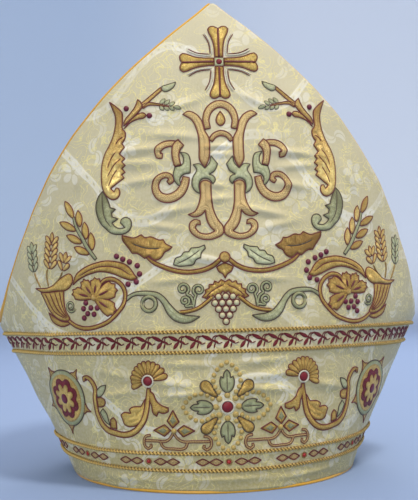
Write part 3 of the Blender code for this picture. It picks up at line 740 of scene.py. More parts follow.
class Piece:
    """One embroidered piece: parts worked on the flat panel, then laid on the horn in one go."""

    def __init__(self, shift=CENTRE_SHIFT):
        self.points, self.threads, self.faces, self.looks, self.finishes = [], [], [], [], []
        self.count, self.shift = 0, shift

    def add(self, points, threads, faces, look):
        """Points are rows of u, z and out, threads rows of the silk attribute, and faces index them."""
        if look not in self.finishes:
            self.finishes.append(look)
        self.points.append(np.asarray(points, float))
        self.threads.append(np.asarray(threads, float))
        self.faces += [tuple(int(i) + self.count for i in face) for face in faces]
        self.looks += [self.finishes.index(look)] * len(faces)
        self.count += len(points)

    def fill(
        self, path, look, height=1.0, shoulder=1.7, tone=0.5, grid=0.5, creases=(), lift=0.0, slope=None
    ):
        """Padded silk in a closed path: it rises from the outline over the shoulder, and dips along creases.

        A slope is the u and z where the tone starts to change, those where it ends, and the two tones."""
        low, high = path.min(0) - grid * 1.01, path.max(0) + grid * 1.01
        counts = np.ceil((high - low) / grid).astype(int) + 1
        columns, rows = np.meshgrid(np.arange(counts[0]), np.arange(counts[1]), indexing="ij")
        places = low + np.stack([columns, rows], -1).reshape(-1, 2) * grid
        inside = is_inside(path, places)
        grid_in = inside.reshape(counts)
        kept = grid_in[:-1, :-1] | grid_in[1:, :-1] | grid_in[:-1, 1:] | grid_in[1:, 1:]
        corners = np.arange(len(places)).reshape(counts)
        quads = np.stack([corners[:-1, :-1], corners[1:, :-1], corners[1:, 1:], corners[:-1, 1:]], -1)[kept]
        used, index = np.unique(quads, return_inverse=True)
        quads = index.reshape(-1, 4)
        places, inside = places[used], inside[used]
        depth, along, nearest = near_path(path, places)
        places = np.where(inside[:, None], places, nearest)
        depth = np.where(inside, depth, 0.0)
        share = np.clip(depth / shoulder, 0, 1)
        out = height * np.sqrt(np.maximum(1 - (1 - share) ** 2, 0.0)) + lift - PADDING_SINK
        for crease in creases:
            away = near_path(crease, places, closed=False)[0]
            out -= CREASE_DEPTH * height * np.exp(-((away / CREASE_WIDTH) ** 2)) * share
        tones = np.full(len(places), tone)
        if slope is not None:
            start, end = np.array(slope[:2]), np.array(slope[2:4])
            run = np.clip((places - start) @ (end - start) / ((end - start) @ (end - start)), 0, 1)
            tones = slope[4] + (slope[5] - slope[4]) * run
        self.add(np.c_[places, out], np.c_[along, depth, tones], quads, look)

    def cord(self, path, look, radius=0.37, closed=True, lift=0.1, sides=6, taper=False):
        """A round thread laid along a path."""
        way = ways(path, closed)
        across = np.stack([-way[:, 1], way[:, 0]], 1)
        reach = np.full(len(path), radius)
        if taper:
            share = np.linspace(0, 1, len(path))
            reach = radius * np.clip(np.minimum(share, 1 - share) * 8 + 0.25, 0, 1)
        run = np.concatenate([[0], np.cumsum(np.linalg.norm(np.diff(path, axis=0), axis=1))])
        rings, threads = [], []
        for k in range(sides):
            angle = math.tau * k / sides
            offset = across * (reach * math.cos(angle))[:, None]
            rings.append(np.c_[path + offset, lift + reach * (THREAD_STAND + math.sin(angle))])
            threads.append(np.c_[run, np.full(len(path), k / sides), np.full(len(path), radius)])
        faces = tube_faces(len(path), sides, closed)
        if not closed:
            faces.append(tuple(range(sides))[::-1])
            faces.append(tuple((len(path) - 1) * sides + k for k in range(sides)))
        self.add(np.stack(rings, 1).reshape(-1, 3), np.stack(threads, 1).reshape(-1, 3), faces, look)

    def vein(self, path, look, radius, lift=0.1):
        """An open thread that thins towards both its ends."""
        self.cord(path, look, radius, closed=False, lift=lift, taper=True)

    def bead(self, u, z, radius, look, height=None, lift=0.0, sides=12, rings=4):
        """A domed berry, pearl or stone, with a tone of its own."""
        height = radius * 0.8 if height is None else height
        tone = (u * 7.3 + z * 3.1) % 1.0
        points, threads, faces = [(u, z, lift + height)], [(u, radius, tone)], []
        for ring in range(1, rings + 1):
            angle = math.pi / 2 * ring / rings
            spread, rise = radius * math.sin(angle), lift + height * math.cos(angle)
            for k in range(sides):
                turn = math.tau * k / sides
                points.append((u + spread * math.cos(turn), z + spread * math.sin(turn), rise))
                threads.append((turn * radius, radius - spread, tone))
        for k in range(sides):
            faces.append((0, 1 + k, 1 + (k + 1) % sides))
            for ring in range(rings - 1):
                a, b = 1 + ring * sides, 1 + (ring + 1) * sides
                faces.append((a + k, b + k, b + (k + 1) % sides, a + (k + 1) % sides))
        self.add(points, threads, faces, look)

    def outlined(self, path, look, edge="outline", radius=0.37, **how):
        """A filled shape with a couched thread along its outline."""
        self.fill(path, look, **how)
        self.cord(path, edge, radius, lift=how.get("lift", 0.0))

    def lined(self, path, look, radius, edge="dark"):
        """A thin raised line between two couched threads."""
        way = ways(path, closed=False)
        across = np.stack([-way[:, 1], way[:, 0]], 1)
        self.vein(path, look, radius, -0.1)
        for offset in (-radius - GUARD_GAP, radius + GUARD_GAP):
            self.vein(path + across * offset, edge, GUARD_RADIUS)

    def lay(self, name, slot, *nodes, side=1, back=False):
        """Lays the piece on a horn, in the place of its CAD node. A side of -1 is the mirrored twin."""
        flat = np.concatenate(self.points)
        points = on_horn(flat[:, 0] * side + self.shift, flat[:, 1], flat[:, 2], back)
        faces = self.faces if side > 0 else [face[::-1] for face in self.faces]
        obj = put_mesh(name, points, faces, self.finishes, ("thread", np.concatenate(self.threads)))
        obj.data.polygons.foreach_set("material_index", self.looks)
        obj.data.update()
        settle(obj, slot, *nodes)

    def lay_twin(self, side, name, slot, node):
        """Lays the piece as the left or the right one of a pair."""
        word = by_side(side, "left", "right")
        self.lay(f"{word}_{name}", slot, f"{word}_{node}", side=side)


# ---------------------------------------------------------------- horns, gusset, piping and cords
# The brocade turns over a soft edge of this width along the pointed opening, and drops by this much.
TURN_WIDTH = 1.6
TURN_DROP = 0.9
# The woven pattern on the back is taken this far along from the front's.
BACK_PATTERN = 400

# The satin's edge lies this far behind the brocade's face, and reaches this far towards the corners.
GUSSET_SEAT = 3.0
GUSSET_REACH = 141.0
GUSSET_WALL = 1.2
# Height of the valley at the corners, and how much higher it is in the middle.
VALLEY_AT_CORNER = 101.5
VALLEY_HUMP = 11.0
# Creases lift the satin, and folds move it between front and back. Each is a sum of waves.
CREASE_SHARE = 0.7
CREASE_WAVES = (
    # height, radians from the middle to a corner, radians from edge to valley, start
    (1.6, 15, 4.0, 0.0),
    (0.9, 31, -6.0, 1.3),
)
FOLD_SHIFT = 3.9
FOLD_WAVES = (
    (2.4, 13, 1.5, 2.0),
    (1.3, 29, -5.0, 0.0),
)
# The satin's end in each corner: reach, half spread and height of its fold, and the rise of its two edges.
CORNER_FOLD = (143.8, 2.4, 100.5)
CORNER_FOLD_RISE = 1.4

# The piping's radius, the length over which it swells towards a corner, and by how much it swells there.
PIPING_RADIUS = 0.9
SWELL_LENGTH = 55.0
SWELL = 1.5
# How far the piping's middle stands past the brocade's edge: on the full side, more at its swell, elsewhere.
PIPING_PROUD = 0.55
SWELL_PROUD = 1.2
PIPING_SUNK = -0.45
# And how far it stands out from the brocade's face.
PIPING_OUT = -1.5

RIM_STEPS = 192
RIM_PROFILE = (
    # radius past the rim, height
    (0.1, RIM_START + 0.5), (0.4, RIM_START), (0.5, 0.9), (0.45, 0.5), (0.2, 0.1), (0.0, 0.0), (-2.9, 0.0),
    (-3.1, 0.3), (-3.1, RIM_START + 0.1),
)

# A cord's strands: number, pitch, radius, sides and distance from its middle, which stands off the cloth.
STRANDS = 2
TWIST_PITCH = 4.6
STRAND_RADIUS = 0.62
STRAND_SIDES = 6
STRAND_OFFSET = 0.68
CORD_STAND = 0.55
# Length of cord that bridges each side seam.
CORD_BRIDGE = 1.2


def add_wall(obj, thickness, offset):
    wall = obj.modifiers.new("wall", "SOLIDIFY")
    wall.thickness = thickness * MM
    wall.offset = offset
    return wall


def make_horn(name, back, node):
    """One horn of brocade with its lining, from the rim to the pointed edge."""
    columns, low_rows, high_rows = ((150, 84, 176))
    heights = np.concatenate([
        np.linspace(RIM_START, CORNER_HEIGHT, low_rows, endpoint=False),
        np.linspace(CORNER_HEIGHT, HEIGHT, high_rows),
    ])
    reach = np.array([seam_reach(z) for z in heights])[:, None]
    u, z = reach * np.linspace(-1, 1, columns + 1), np.repeat(heights[:, None], columns + 1, 1)
    near_edge = np.clip((reach - np.abs(u)) / TURN_WIDTH, 0, 1)
    turned_over = np.where(z > CORNER_HEIGHT, 1 - np.sqrt(1 - (1 - near_edge) ** 2), 0.0)
    points = on_horn(u, z, -TURN_DROP * turned_over, back)
    panel = np.stack([u + BACK_PATTERN * back, z, 0 * u], -1)
    horn = put_grid(name, points, ("brocade", "lining"), ("panel", panel))
    wall = add_wall(horn, BROCADE_WALL, -1.0)
    wall.material_offset = 1
    settle(horn, "brocade", node)


def make_cord(node, line):
    """Two strands twisted together, laid round both horns."""
    reach = seam_reach(line[1])
    u = np.linspace(-reach, reach, math.ceil(2 * reach / (0.6)))
    z = line_height(line, u, reach)
    front_run = np.arange(len(u)) * (2 * reach / (len(u) - 1))
    back_run = front_run[-1] + CORD_BRIDGE + front_run
    length = back_run[-1] + CORD_BRIDGE
    turns = round(length / TWIST_PITCH)
    angle = np.arange(STRAND_SIDES) * math.tau / STRAND_SIDES
    points, threads, faces = [], [], []
    for strand in range(STRANDS):
        for back, run in ((False, front_run), (True, back_run)):
            turn = run / length * turns * math.tau + strand * math.tau / STRANDS
            height = (z + STRAND_OFFSET * np.cos(turn))[:, None] + STRAND_RADIUS * np.cos(angle)
            out = (CORD_STAND + STRAND_OFFSET * np.sin(turn))[:, None] + STRAND_RADIUS * np.sin(angle)
            points.append(on_horn(u[:, None], height, out, back))
            thread = np.broadcast_arrays(run[:, None], angle / math.tau, turn[:, None] / math.tau % 1.0)
            threads.append(np.stack(thread, -1))
        first = strand * 2 * len(u) * STRAND_SIDES
        for a, b, c, d in tube_faces(2 * len(u), STRAND_SIDES, closed=True):
            faces.append((first + a, first + d, first + c, first + b))
    cord = put_mesh(
        f"{node}_twist", np.concatenate(points), faces, ("gilt",), ("thread", np.concatenate(threads))
    )
    settle(cord, "gold_cord", node)


def edge_height(half_width):
    """Height of the pointed edge at a half width."""
    return curve_through([(width, height) for height, width in reversed(OGIVE)], half_width)


def wave_height(waves, across, down):
    return sum(height * math.sin(across * x + down * y + start) for height, x, y, start in waves)


def make_gusset():
    """Satin folded in half between the horns, with creases that fan out from the corners."""
    columns, rows = 160, 64
    points = np.zeros((columns + 1, rows + 1, 3))
    for i in range(columns + 1):
        share = 2 * i / columns - 1
        half = max(abs(share) * GUSSET_REACH, OGIVE[-1][1])
        height = edge_height(half)
        radius = float(section_radius(height))
        around = math.copysign(math.asin(half / radius) * radius, share)
        edge = on_horn(around, height - 1.0, -GUSSET_SEAT)
        level = half / GUSSET_REACH
        valley = np.array((edge[0], 0.0, (VALLEY_AT_CORNER + VALLEY_HUMP * (1 - level * level)) * MM))
        for j in range(rows + 1):
            t = 2 * j / rows - 1
            depth = 1 - abs(t)
            point = edge + (valley - edge) * depth
            point[1] *= -1 if t > 0 else 1
            slack = math.sin(math.pi * depth) * (1 - level) ** 0.5 * MM
            point[2] += slack * wave_height(CREASE_WAVES, share, depth) * CREASE_SHARE
            point[1] += (-1 if t < 0 else 1) * slack * (wave_height(FOLD_WAVES, share, depth) - FOLD_SHIFT)
            points[i, j] = point
    # One more column each side runs into the corner, behind the piping.
    across = np.linspace(-1, 1, rows + 1)
    reach, spread, height = CORNER_FOLD
    rise = height + CORNER_FOLD_RISE * np.abs(across)
    left, right = (
        np.stack([0 * across + side * reach, across * spread, rise], 1) * MM for side in (-1, 1)
    )
    gusset = put_grid("gusset_satin", np.concatenate([left[None], points, right[None]]), ("satin",))
    add_wall(gusset, GUSSET_WALL, 0.0)
    settle(gusset, "satin", "gusset")


def make_piping(name, back, swell_side):
    """A roll of golden satin that shows just past the brocade's pointed edge, fullest at one corner."""
    sides, steps = 8, 220
    heights = np.linspace(CORNER_HEIGHT + 1.0, HEIGHT - 0.6, steps)
    path = np.array([(-seam_reach(z), z) for z in heights] + [(seam_reach(z), z) for z in heights[::-1]])
    way = ways(path, closed=False)
    outward = np.stack([-way[:, 1], way[:, 0]], 1)
    full = np.sign(path[:, 0]) == swell_side
    up_share = np.clip((path[:, 1] - CORNER_HEIGHT) / SWELL_LENGTH, 0, 1)
    swell = np.where(full, (1 - up_share) ** 2, 0.0)
    reach = PIPING_RADIUS + SWELL * swell
    proud = np.where(full, PIPING_PROUD + SWELL_PROUD * swell, PIPING_SUNK)
    ring = []
    for k in range(sides):
        angle = math.tau * k / sides
        place = path + outward * (proud + reach * math.cos(angle))[:, None]
        ring.append(on_horn(place[:, 0], place[:, 1], PIPING_OUT + reach * 1.05 * math.sin(angle), back))
    settle(put_grid(name, np.stack(ring + ring[:1], 1), ("satin",)), "satin")


def make_rim_binding():
    """A narrow bound edge under the brocade, flat below."""
    turn = np.linspace(0, math.tau, RIM_STEPS + 1)[:, None]
    past, height = np.array(RIM_PROFILE).T
    radius = RIM_RADIUS + past
    points = np.stack([np.cos(turn) * radius, np.sin(turn) * radius, height + 0 * turn], -1) * MM
    settle(put_grid("rim_satin", points[::-1], ("satin",)), "satin", "rim_binding")


# ---------------------------------------------------------------- motifs, as rows of u and z
ACANTHUS = (
    (68.7, 238.2), (66.4, 232.8), (65.1, 229.0), (64.9, 225.0), (65.6, 220.6), (67.0, 216.0), (69.7, 210.6),
    (72.5, 206.0), (74.4, 200.6), (75.1, 195.0), (75.0, 189.4), (74.2, 184.4), (72.5, 181.0), (70.0, 178.6),
    (67.5, 177.5), (64.7, 178.3), (63.0, 180.6), (63.0, 182.8), (63.9, 184.4), (65.4, 184.6), (66.6, 182.2),
    (68.9, 184.4), (64.6, 187.4), (60.0, 190.6), (61.8, 192.6), (59.4, 194.0), (61.5, 196.4), (58.9, 198.0),
    (61.2, 200.4), (59.2, 202.2), (62.4, 205.2), (59.3, 209.2), (61.0, 211.8), (59.2, 214.2), (58.6, 218.3),
    (60.5, 221.0), (60.2, 226.0), (60.5, 231.0), (62.6, 233.4), (65.6, 236.0),
)
ACANTHUS_SLITS = (
    ((60.0, 215.6), (62.8, 214.2), (65.0, 211.4)),
    ((64.7, 206.7), (68.4, 202.6), (70.8, 197.0)),
    ((61.1, 203.0), (66.8, 198.2), (71.1, 191.7)),
    ((64.2, 196.4), (67.8, 191.4), (70.3, 185.6)),
)
SAGE_LEAF = (
    (74.4, 183.0), (77.2, 180.0), (79.1, 174.4), (78.4, 168.8), (75.6, 163.1), (72.0, 159.7), (68.7, 157.2),
    (64.2, 156.3), (60.3, 156.7), (57.0, 158.9), (55.8, 162.8), (56.7, 165.3), (59.5, 166.4), (62.0, 165.3),
    (62.8, 163.3), (61.2, 161.6), (59.9, 160.2), (63.7, 159.9), (66.4, 161.3), (68.2, 163.4), (64.2, 165.8),
    (68.0, 167.0), (68.6, 169.4), (65.8, 171.7), (69.4, 172.8), (70.0, 175.0), (71.8, 179.0),
)
SAGE_MIDRIB = ((74.7, 182.0), (74.4, 173.8), (72.8, 166.3), (68.6, 160.6))
LOBED_LEAF = (
    (62.0, 155.6), (58.1, 154.7), (54.8, 153.9), (49.8, 155.7), (47.6, 153.9), (44.2, 154.3), (38.7, 152.2),
    (36.4, 152.3), (35.1, 150.0), (31.2, 147.8), (33.1, 146.1), (35.9, 144.7), (37.0, 142.8), (39.2, 140.8),
    (42.0, 140.3), (45.3, 142.8), (48.1, 141.4), (52.6, 144.4), (55.9, 144.7), (57.6, 147.2), (59.8, 150.0),
    (61.7, 152.8),
)
LOBED_MIDRIB = ((55.9, 150.8), (49.8, 148.3), (44.2, 147.2), (38.4, 147.2))
CALYX_UPPER = (
    (59.6, 222.4), (59.0, 225.6), (54.7, 230.3), (52.2, 233.3), (50.0, 238.3), (47.6, 235.6), (47.2, 233.4),
    (50.2, 230.0), (55.6, 225.6),
)
CALYX_LOWER = (
    (59.4, 220.8), (55.0, 224.4), (50.0, 226.2), (46.7, 226.6), (44.9, 228.2), (46.7, 229.8), (49.6, 229.4),
    (54.4, 226.3),
)
BUD_STEM = ((48.0, 233.9, 2.6), (41.0, 239.6, 2.2), (35.2, 244.4, 2.0))
BUD = (
    (35.0, 245.8), (30.0, 247.2), (26.4, 248.2), (27.4, 245.6), (30.0, 243.4), (32.8, 242.4), (35.2, 243.4),
)
SPRAY_STEM = ((47.4, 233.4, 2.3), (43.9, 235.0, 2.0), (37.2, 234.4, 1.2), (31.0, 232.9, 0.7))
SPRAY = (
    # foot u, foot z, tip u, tip z, width
    (36.4, 234.6, 33.2, 238.0, 2.4), (33.6, 234.2, 30.2, 237.2, 2.4), (30.8, 233.4, 27.2, 235.6, 2.4),
    (36.6, 233.6, 34.0, 230.6, 2.4), (33.6, 233.0, 30.8, 230.4, 2.4), (30.4, 232.4, 27.6, 230.4, 2.2),
    (28.0, 232.6, 23.4, 231.2, 2.2),
)
HIGH_BERRIES = ((57.6, 233.1), (43.1, 227.9))
SPRIG_LEAVES = (
    (95.4, 167.8, 102.4, 178.6, 4.8), (90.6, 162.2, 92.0, 172.2, 4.8), (93.9, 160.0, 106.8, 165.6, 4.6),
    (86.4, 154.4, 87.3, 164.8, 4.8), (90.0, 152.2, 101.3, 157.2, 4.6), (82.2, 147.6, 83.0, 158.2, 4.8),
    (84.8, 145.2, 95.6, 149.6, 4.4),
)
SPRIG_STEM = (
    (95.4, 168.4, 1.6), (93.6, 162.6, 2.0), (90.0, 156.2, 2.4), (84.9, 148.0, 2.4), (79.8, 141.8, 2.0),
)
SMALL_LEAF = (
    (30.6, 137.2), (29.3, 140.9), (25.9, 142.3), (24.2, 144.4), (21.2, 144.7), (19.8, 146.9), (15.3, 147.2),
    (11.8, 148.5), (11.4, 146.5), (13.7, 143.9), (14.2, 141.1), (17.0, 139.7), (18.7, 137.1), (22.6, 136.4),
    (27.0, 136.2),
)
SMALL_MIDRIB = ((28.7, 137.6), (22.0, 140.6), (14.6, 145.6))
GARLAND_HALF = (
    # u, z, width
    (46.4, 142.0, 1.4), (43.1, 139.2, 2.0), (38.7, 136.9, 2.3), (33.1, 134.7, 2.4), (27.6, 133.2, 2.4),
    (22.0, 132.6, 2.4), (16.4, 133.0, 2.4), (10.9, 134.3, 2.4), (6.4, 136.6, 2.4), (2.2, 140.2, 2.2),
)
GARLAND_DROP = (
    (-5.0, 135.2), (-2.6, 136.6), (0.0, 137.4), (2.6, 136.6), (5.0, 135.2), (3.6, 132.4), (1.4, 131.0),
    (0.0, 128.4), (-1.4, 131.0), (-3.6, 132.4),
)
RING_STEM = (
    (101.6, 104.6, 2.0), (96.0, 101.2, 2.2), (88.8, 99.7, 2.2), (80.0, 101.0, 2.2), (72.0, 104.2, 2.2),
    (65.6, 109.6, 2.2), (61.8, 114.6, 2.2), (60.6, 120.4, 2.2), (61.9, 124.6, 2.4), (65.4, 128.0, 2.4),
    (69.8, 129.6, 2.4), (75.0, 128.6, 2.0), (78.8, 124.6, 1.4),
)
SCROLL_LEAF = (
    (97.6, 126.4), (93.6, 129.2), (90.0, 131.0), (84.0, 133.0), (77.5, 134.2), (72.0, 133.6), (66.6, 132.0),
    (60.0, 129.4), (55.4, 128.6), (52.8, 130.0), (54.6, 132.0), (56.8, 135.2), (60.4, 138.2), (66.6, 140.0),
    (73.4, 140.6), (79.6, 139.6), (85.4, 138.0), (90.4, 135.8), (95.0, 132.4),
)
SCROLL_FOLD = ((92.4, 131.6), (84.0, 135.4), (74.0, 137.4), (64.0, 135.8), (57.0, 131.6))
RING_BERRIES = (
    (66.0, 143.2), (62.0, 141.3), (57.7, 139.6), (52.8, 137.2), (51.4, 132.2), (53.5, 127.5), (58.7, 126.2),
)
FLOWER_BERRIES = (
    (88.1, 115.3), (89.9, 111.8), (84.5, 112.3), (80.0, 112.2), (86.9, 108.8), (82.3, 108.4), (89.6, 106.1),
)
FLOWER_PETALS = (
    # tip u, tip z, width
    (98.4, 122.2, 7.0), (90.4, 129.2, 7.0), (79.4, 130.6, 7.6), (66.2, 124.8, 9.6), (67.2, 109.2, 8.6),
)
PETAL = (
    # share of the length, share of the width
    (0.04, 0.12), (0.3, 0.34), (0.6, 0.52), (0.8, 0.54), (0.86, 0.34), (0.99, 0.22), (0.93, 0.0),
)
FLOWER_CENTRE = (82.0, 118.4)
WHEAT_EARS = (
    # foot u, foot z, tip u, tip z, pairs of grains, half spread, look
    (130.9, 134.6, 133.1, 154.4, 4, 4.0, "pale"),
    (115.9, 136.0, 113.6, 159.8, 5, 5.2, "yellow"),
    (105.2, 135.2, 101.9, 147.0, 2, 4.6, "yellow"),
)
WHEAT_STALKS = (
    ((130.4, 135.0), (129.4, 132.5), (124.6, 125.2)),
    ((118.0, 137.0), (118.8, 133.0), (117.5, 125.6)),
    ((105.2, 135.0), (108.0, 130.8), (113.4, 126.6)),
)
HORN_RIM = (
    (129.4, 124.7), (118.1, 125.0), (113.4, 126.6), (108.8, 129.6), (104.4, 132.1), (100.0, 133.3),
    (98.0, 131.9), (97.8, 128.8), (100.0, 125.3), (103.8, 123.2), (110.0, 123.0), (116.9, 122.4),
    (123.1, 122.4),
)
HORN_BODY = (
    (124.3, 122.2), (120.9, 116.9), (118.1, 111.9), (113.8, 107.5), (107.5, 104.6), (101.2, 104.2),
    (100.4, 106.0), (103.4, 110.6), (104.9, 116.9), (105.0, 123.0), (110.0, 122.8), (116.9, 122.2),
)
HORN_FLUTES = (
    ((120.6, 121.6), (112.8, 110.0), (103.4, 105.6)),
    ((116.6, 122.0), (110.4, 111.4), (103.0, 106.0)),
    ((112.4, 122.2), (108.0, 112.4), (102.6, 106.4)),
    ((108.4, 122.4), (106.0, 113.4), (102.2, 106.8)),
)
HORN_LEAF = (
    (118.4, 109.4), (115.2, 103.8), (110.0, 101.4), (106.3, 100.8), (101.9, 102.0), (99.2, 103.6),
    (107.5, 104.2), (113.8, 106.8),
)
CRESCENT = (
    (59.8, 118.9), (55.3, 121.1), (50.9, 121.9), (44.2, 121.7), (39.8, 120.6), (36.2, 117.8), (33.1, 113.9),
    (28.1, 108.8), (23.7, 107.1), (19.8, 106.7), (15.6, 106.1), (18.7, 104.0), (22.0, 102.6), (26.4, 102.5),
    (30.9, 104.2), (34.8, 108.3), (37.6, 113.9), (40.9, 117.6), (50.9, 119.3), (55.3, 119.0), (60.0, 115.9),
)
GRAPE_STEM = ((28.6, 108.8), (22.0, 109.4), (16.4, 111.1), (10.9, 115.0), (7.2, 118.2))
CURL_FOOT = (19.2, 110.6)
CURLS = (
    # points of the stem, then the curl's middle, outer radius, turning and start
    (((19.4, 114.4), (20.6, 118.0)), (25.2, 122.6, 3.7, -1, 230)),
    (((18.8, 114.4), (18.2, 117.4)), (15.9, 121.8, 3.6, 1, 300)),
    (((19.4, 112.4),), (24.2, 115.6, 2.9, -1, 262)),
)
VINE_HALF = (
    # one side's saw-toothed edge, from the top round to the bottom
    (2.4, 127.8), (4.2, 126.0), (6.4, 127.0), (7.2, 124.9), (9.6, 125.0), (9.8, 122.6), (12.2, 121.8),
    (11.8, 119.8), (14.0, 117.6), (11.4, 116.6), (10.2, 118.0), (9.0, 116.4), (7.6, 118.6), (6.2, 117.2),
    (4.8, 119.6), (3.4, 118.6), (1.8, 120.8),
)
VINE_RIB = ((1.0, 124.8), (6.0, 122.4), (11.8, 117.8))
GRAPE_ROWS = (
    # height, grapes in the row
    (117.6, 3), (113.9, 4), (110.2, 3), (106.5, 2), (102.8, 1),
)
C_SCROLL = (
    (92.4, 67.2, 3.0), (93.2, 69.0, 2.2), (90.2, 69.2, 2.4), (87.2, 66.8, 2.6), (85.0, 62.0, 2.8),
    (85.6, 57.4, 2.8), (85.4, 52.0, 2.8), (84.8, 48.0, 2.8), (83.0, 43.6, 3.0), (80.4, 39.8, 3.2),
    (76.6, 37.0, 3.4), (71.4, 35.6, 3.4), (65.4, 34.8, 3.4), (60.4, 35.8, 3.4), (56.6, 38.0, 3.4),
    (53.6, 41.2, 3.4), (51.2, 45.0, 3.4), (49.8, 49.4, 3.2), (49.0, 54.0, 3.0), (48.2, 59.0, 2.6),
    (47.6, 63.6, 2.2),
)
SCROLL_BUD = ((84.2, 61.2), (81.1, 63.9), (77.0, 65.0), (78.0, 61.2), (80.4, 58.2), (83.4, 57.6))
SCROLL_LOBE = ((84.0, 57.0), (80.4, 57.4), (78.1, 56.4), (77.8, 54.0), (79.4, 51.8), (83.6, 51.2))
SCROLL_DROP = ((79.9, 50.4), (77.2, 47.3), (76.2, 44.0), (75.1, 40.2), (78.9, 42.7), (82.2, 48.0))
SCROLL_BUDLET = ((74.8, 38.8), (74.4, 44.0), (72.4, 45.3), (70.6, 43.2), (70.2, 38.0))
SCROLL_LEAF_BIG = (
    (50.4, 57.0), (53.0, 52.6), (58.8, 52.0), (60.9, 50.6), (60.0, 48.3), (64.5, 48.7), (66.8, 47.0),
    (65.8, 44.5), (64.5, 41.3), (62.0, 40.1), (58.5, 40.3), (55.0, 41.8), (52.6, 45.0), (51.0, 50.0),
)
SCROLL_LEAF_FOLDS = (((52.6, 50.6), (56.0, 47.6), (60.8, 45.6)), ((53.0, 46.6), (56.0, 44.2), (60.0, 42.8)))
PALMETTE_CENTRE = (48.1, 68.0)
PALMETTE_LOBES = (
    # direction in degrees, reach, width
    (200, 11.2, 3.4), (184, 10.9, 3.3), (168, 11.2, 3.3), (150, 11.4, 3.3), (134, 11.7, 3.2),
    (118, 12.0, 3.2), (102, 12.2, 3.2), (86, 12.3, 3.2), (70, 12.3, 3.2), (54, 12.3, 3.2), (36, 12.6, 3.4),
    (16, 12.8, 3.6),
)
PALMETTE_FOOT = (
    (47.8, 62.6), (44.9, 60.5), (42.8, 56.0), (40.0, 53.7), (35.6, 52.2), (35.7, 49.8), (38.8, 48.7),
    (41.8, 49.6), (43.0, 47.0), (45.1, 48.6), (46.4, 54.0), (48.2, 57.6),
)
LILY_DIAMONDS = (
    ((32.9, 50.8), (36.6, 44.2), (33.3, 40.0), (29.3, 43.7)),
    ((45.2, 38.5), (38.2, 42.0), (34.4, 38.5), (38.5, 34.8)),
    ((19.8, 38.3), (26.5, 41.7), (30.6, 38.5), (27.0, 34.6)),
)
LILY_BEAD = (32.6, 38.1)
LILY_STRAP_WIDTH = 1.35
LILY_STRAPS = (
    ((47.4, 35.4), (50.3, 34.6), (51.8, 31.6), (50.9, 28.3), (49.0, 27.0), (47.1, 28.3), (47.4, 29.9)),
    ((50.9, 31.9), (44.0, 31.9), (37.6, 31.9), (34.9, 34.0), (33.0, 37.0)),
    ((14.6, 35.0), (11.6, 34.2), (10.2, 31.2), (11.0, 28.0), (13.1, 26.6), (14.9, 27.9), (14.5, 29.6)),
    ((11.0, 31.7), (21.0, 31.7), (28.0, 31.9), (30.9, 34.0), (33.0, 37.0)),
    ((41.4, 32.0), (39.8, 28.4), (37.8, 27.4), (32.8, 27.2), (27.8, 27.2), (25.8, 28.2), (24.4, 31.6)),
)
TREFOIL = (
    # along the axis from the flower's centre, half width
    (8.6, 0.8), (11.6, 3.6), (15.6, 4.3), (18.2, 3.6), (17.2, 2.2), (20.2, 1.7), (22.2, 0.0),
)
TEARDROP = ((8.8, 0.4), (13.0, 2.0), (17.6, 3.2), (20.0, 2.6), (21.4, 0.0))
BEAD_LOOP = (
    # along the axis from the flower's centre, half width
    (8.8, 5.2), (12.6, 7.5), (17.0, 8.2), (21.0, 6.6), (24.6, 3.2), (26.4, 0.0),
)
BEAD_PITCH = 3.8
FLOWER_AT = (-0.3, 52.2)
MEDALLION_CENTRE = (112.5, 55.0)
CENTRE_FOOT = (
    (7.0, 185.8), (10.2, 187.2), (13.0, 185.8), (13.4, 178.5), (14.6, 173.0), (17.0, 168.6), (21.0, 166.8),
    (17.5, 165.4), (13.4, 166.4), (10.8, 169.0), (10.0, 163.5), (8.0, 159.2), (5.4, 156.6), (9.5, 155.0),
    (14.5, 156.0), (17.0, 158.8), (16.2, 160.8), (13.8, 160.6), (14.2, 163.1), (17.2, 163.8), (20.2, 161.6),
    (20.2, 157.4), (16.4, 153.4), (10.0, 151.6), (4.5, 152.6), (0.5, 155.2), (0.5, 159.4), (3.2, 163.2),
    (5.6, 168.6), (6.7, 174.5),
)
CENTRE_STRAP = (
    (7.6, 200.6), (8.6, 197.8), (10.3, 195.0), (12.6, 198.0), (13.4, 200.0), (13.4, 207.0), (13.6, 213.5),
    (14.8, 219.0), (17.2, 224.0), (22.6, 227.8), (19.4, 229.6), (14.6, 227.8), (11.4, 223.6), (9.7, 217.5),
    (7.4, 213.0), (7.1, 206.0),
)
CENTRE_ARCH = (
    (-7.9, 218.6, 3.4), (-8.8, 224.5, 3.8), (-6.8, 230.2, 4.2), (-2.4, 233.6, 4.3), (2.4, 233.6, 4.3),
    (6.8, 230.2, 4.2), (8.8, 224.5, 3.8), (7.9, 218.6, 3.4),
)
INNER_ARCH = ((-6.4, 211.2, 2.6), (-4.2, 214.2, 3.0), (0.0, 215.8, 3.2), (4.2, 214.2, 3.0), (6.4, 211.2, 2.6))
ARCH_DROP = (
    (0.0, 229.4), (2.0, 226.4), (2.7, 223.4), (1.6, 221.2), (0.0, 220.4), (-1.6, 221.2), (-2.7, 223.4),
    (-2.0, 226.4),
)
CENTRE_COLLAR = (
    (6.5, 201.8), (7.4, 197.8), (10.3, 194.2), (13.3, 197.0), (17.2, 196.8), (15.3, 193.5), (17.6, 189.0),
    (18.2, 184.5), (16.0, 180.5), (13.5, 179.2), (14.2, 183.5), (13.3, 187.0), (10.2, 188.4), (7.2, 187.0),
    (5.8, 184.8), (4.3, 187.5), (5.5, 189.8), (8.0, 190.6), (4.5, 193.0), (2.7, 197.0),
)
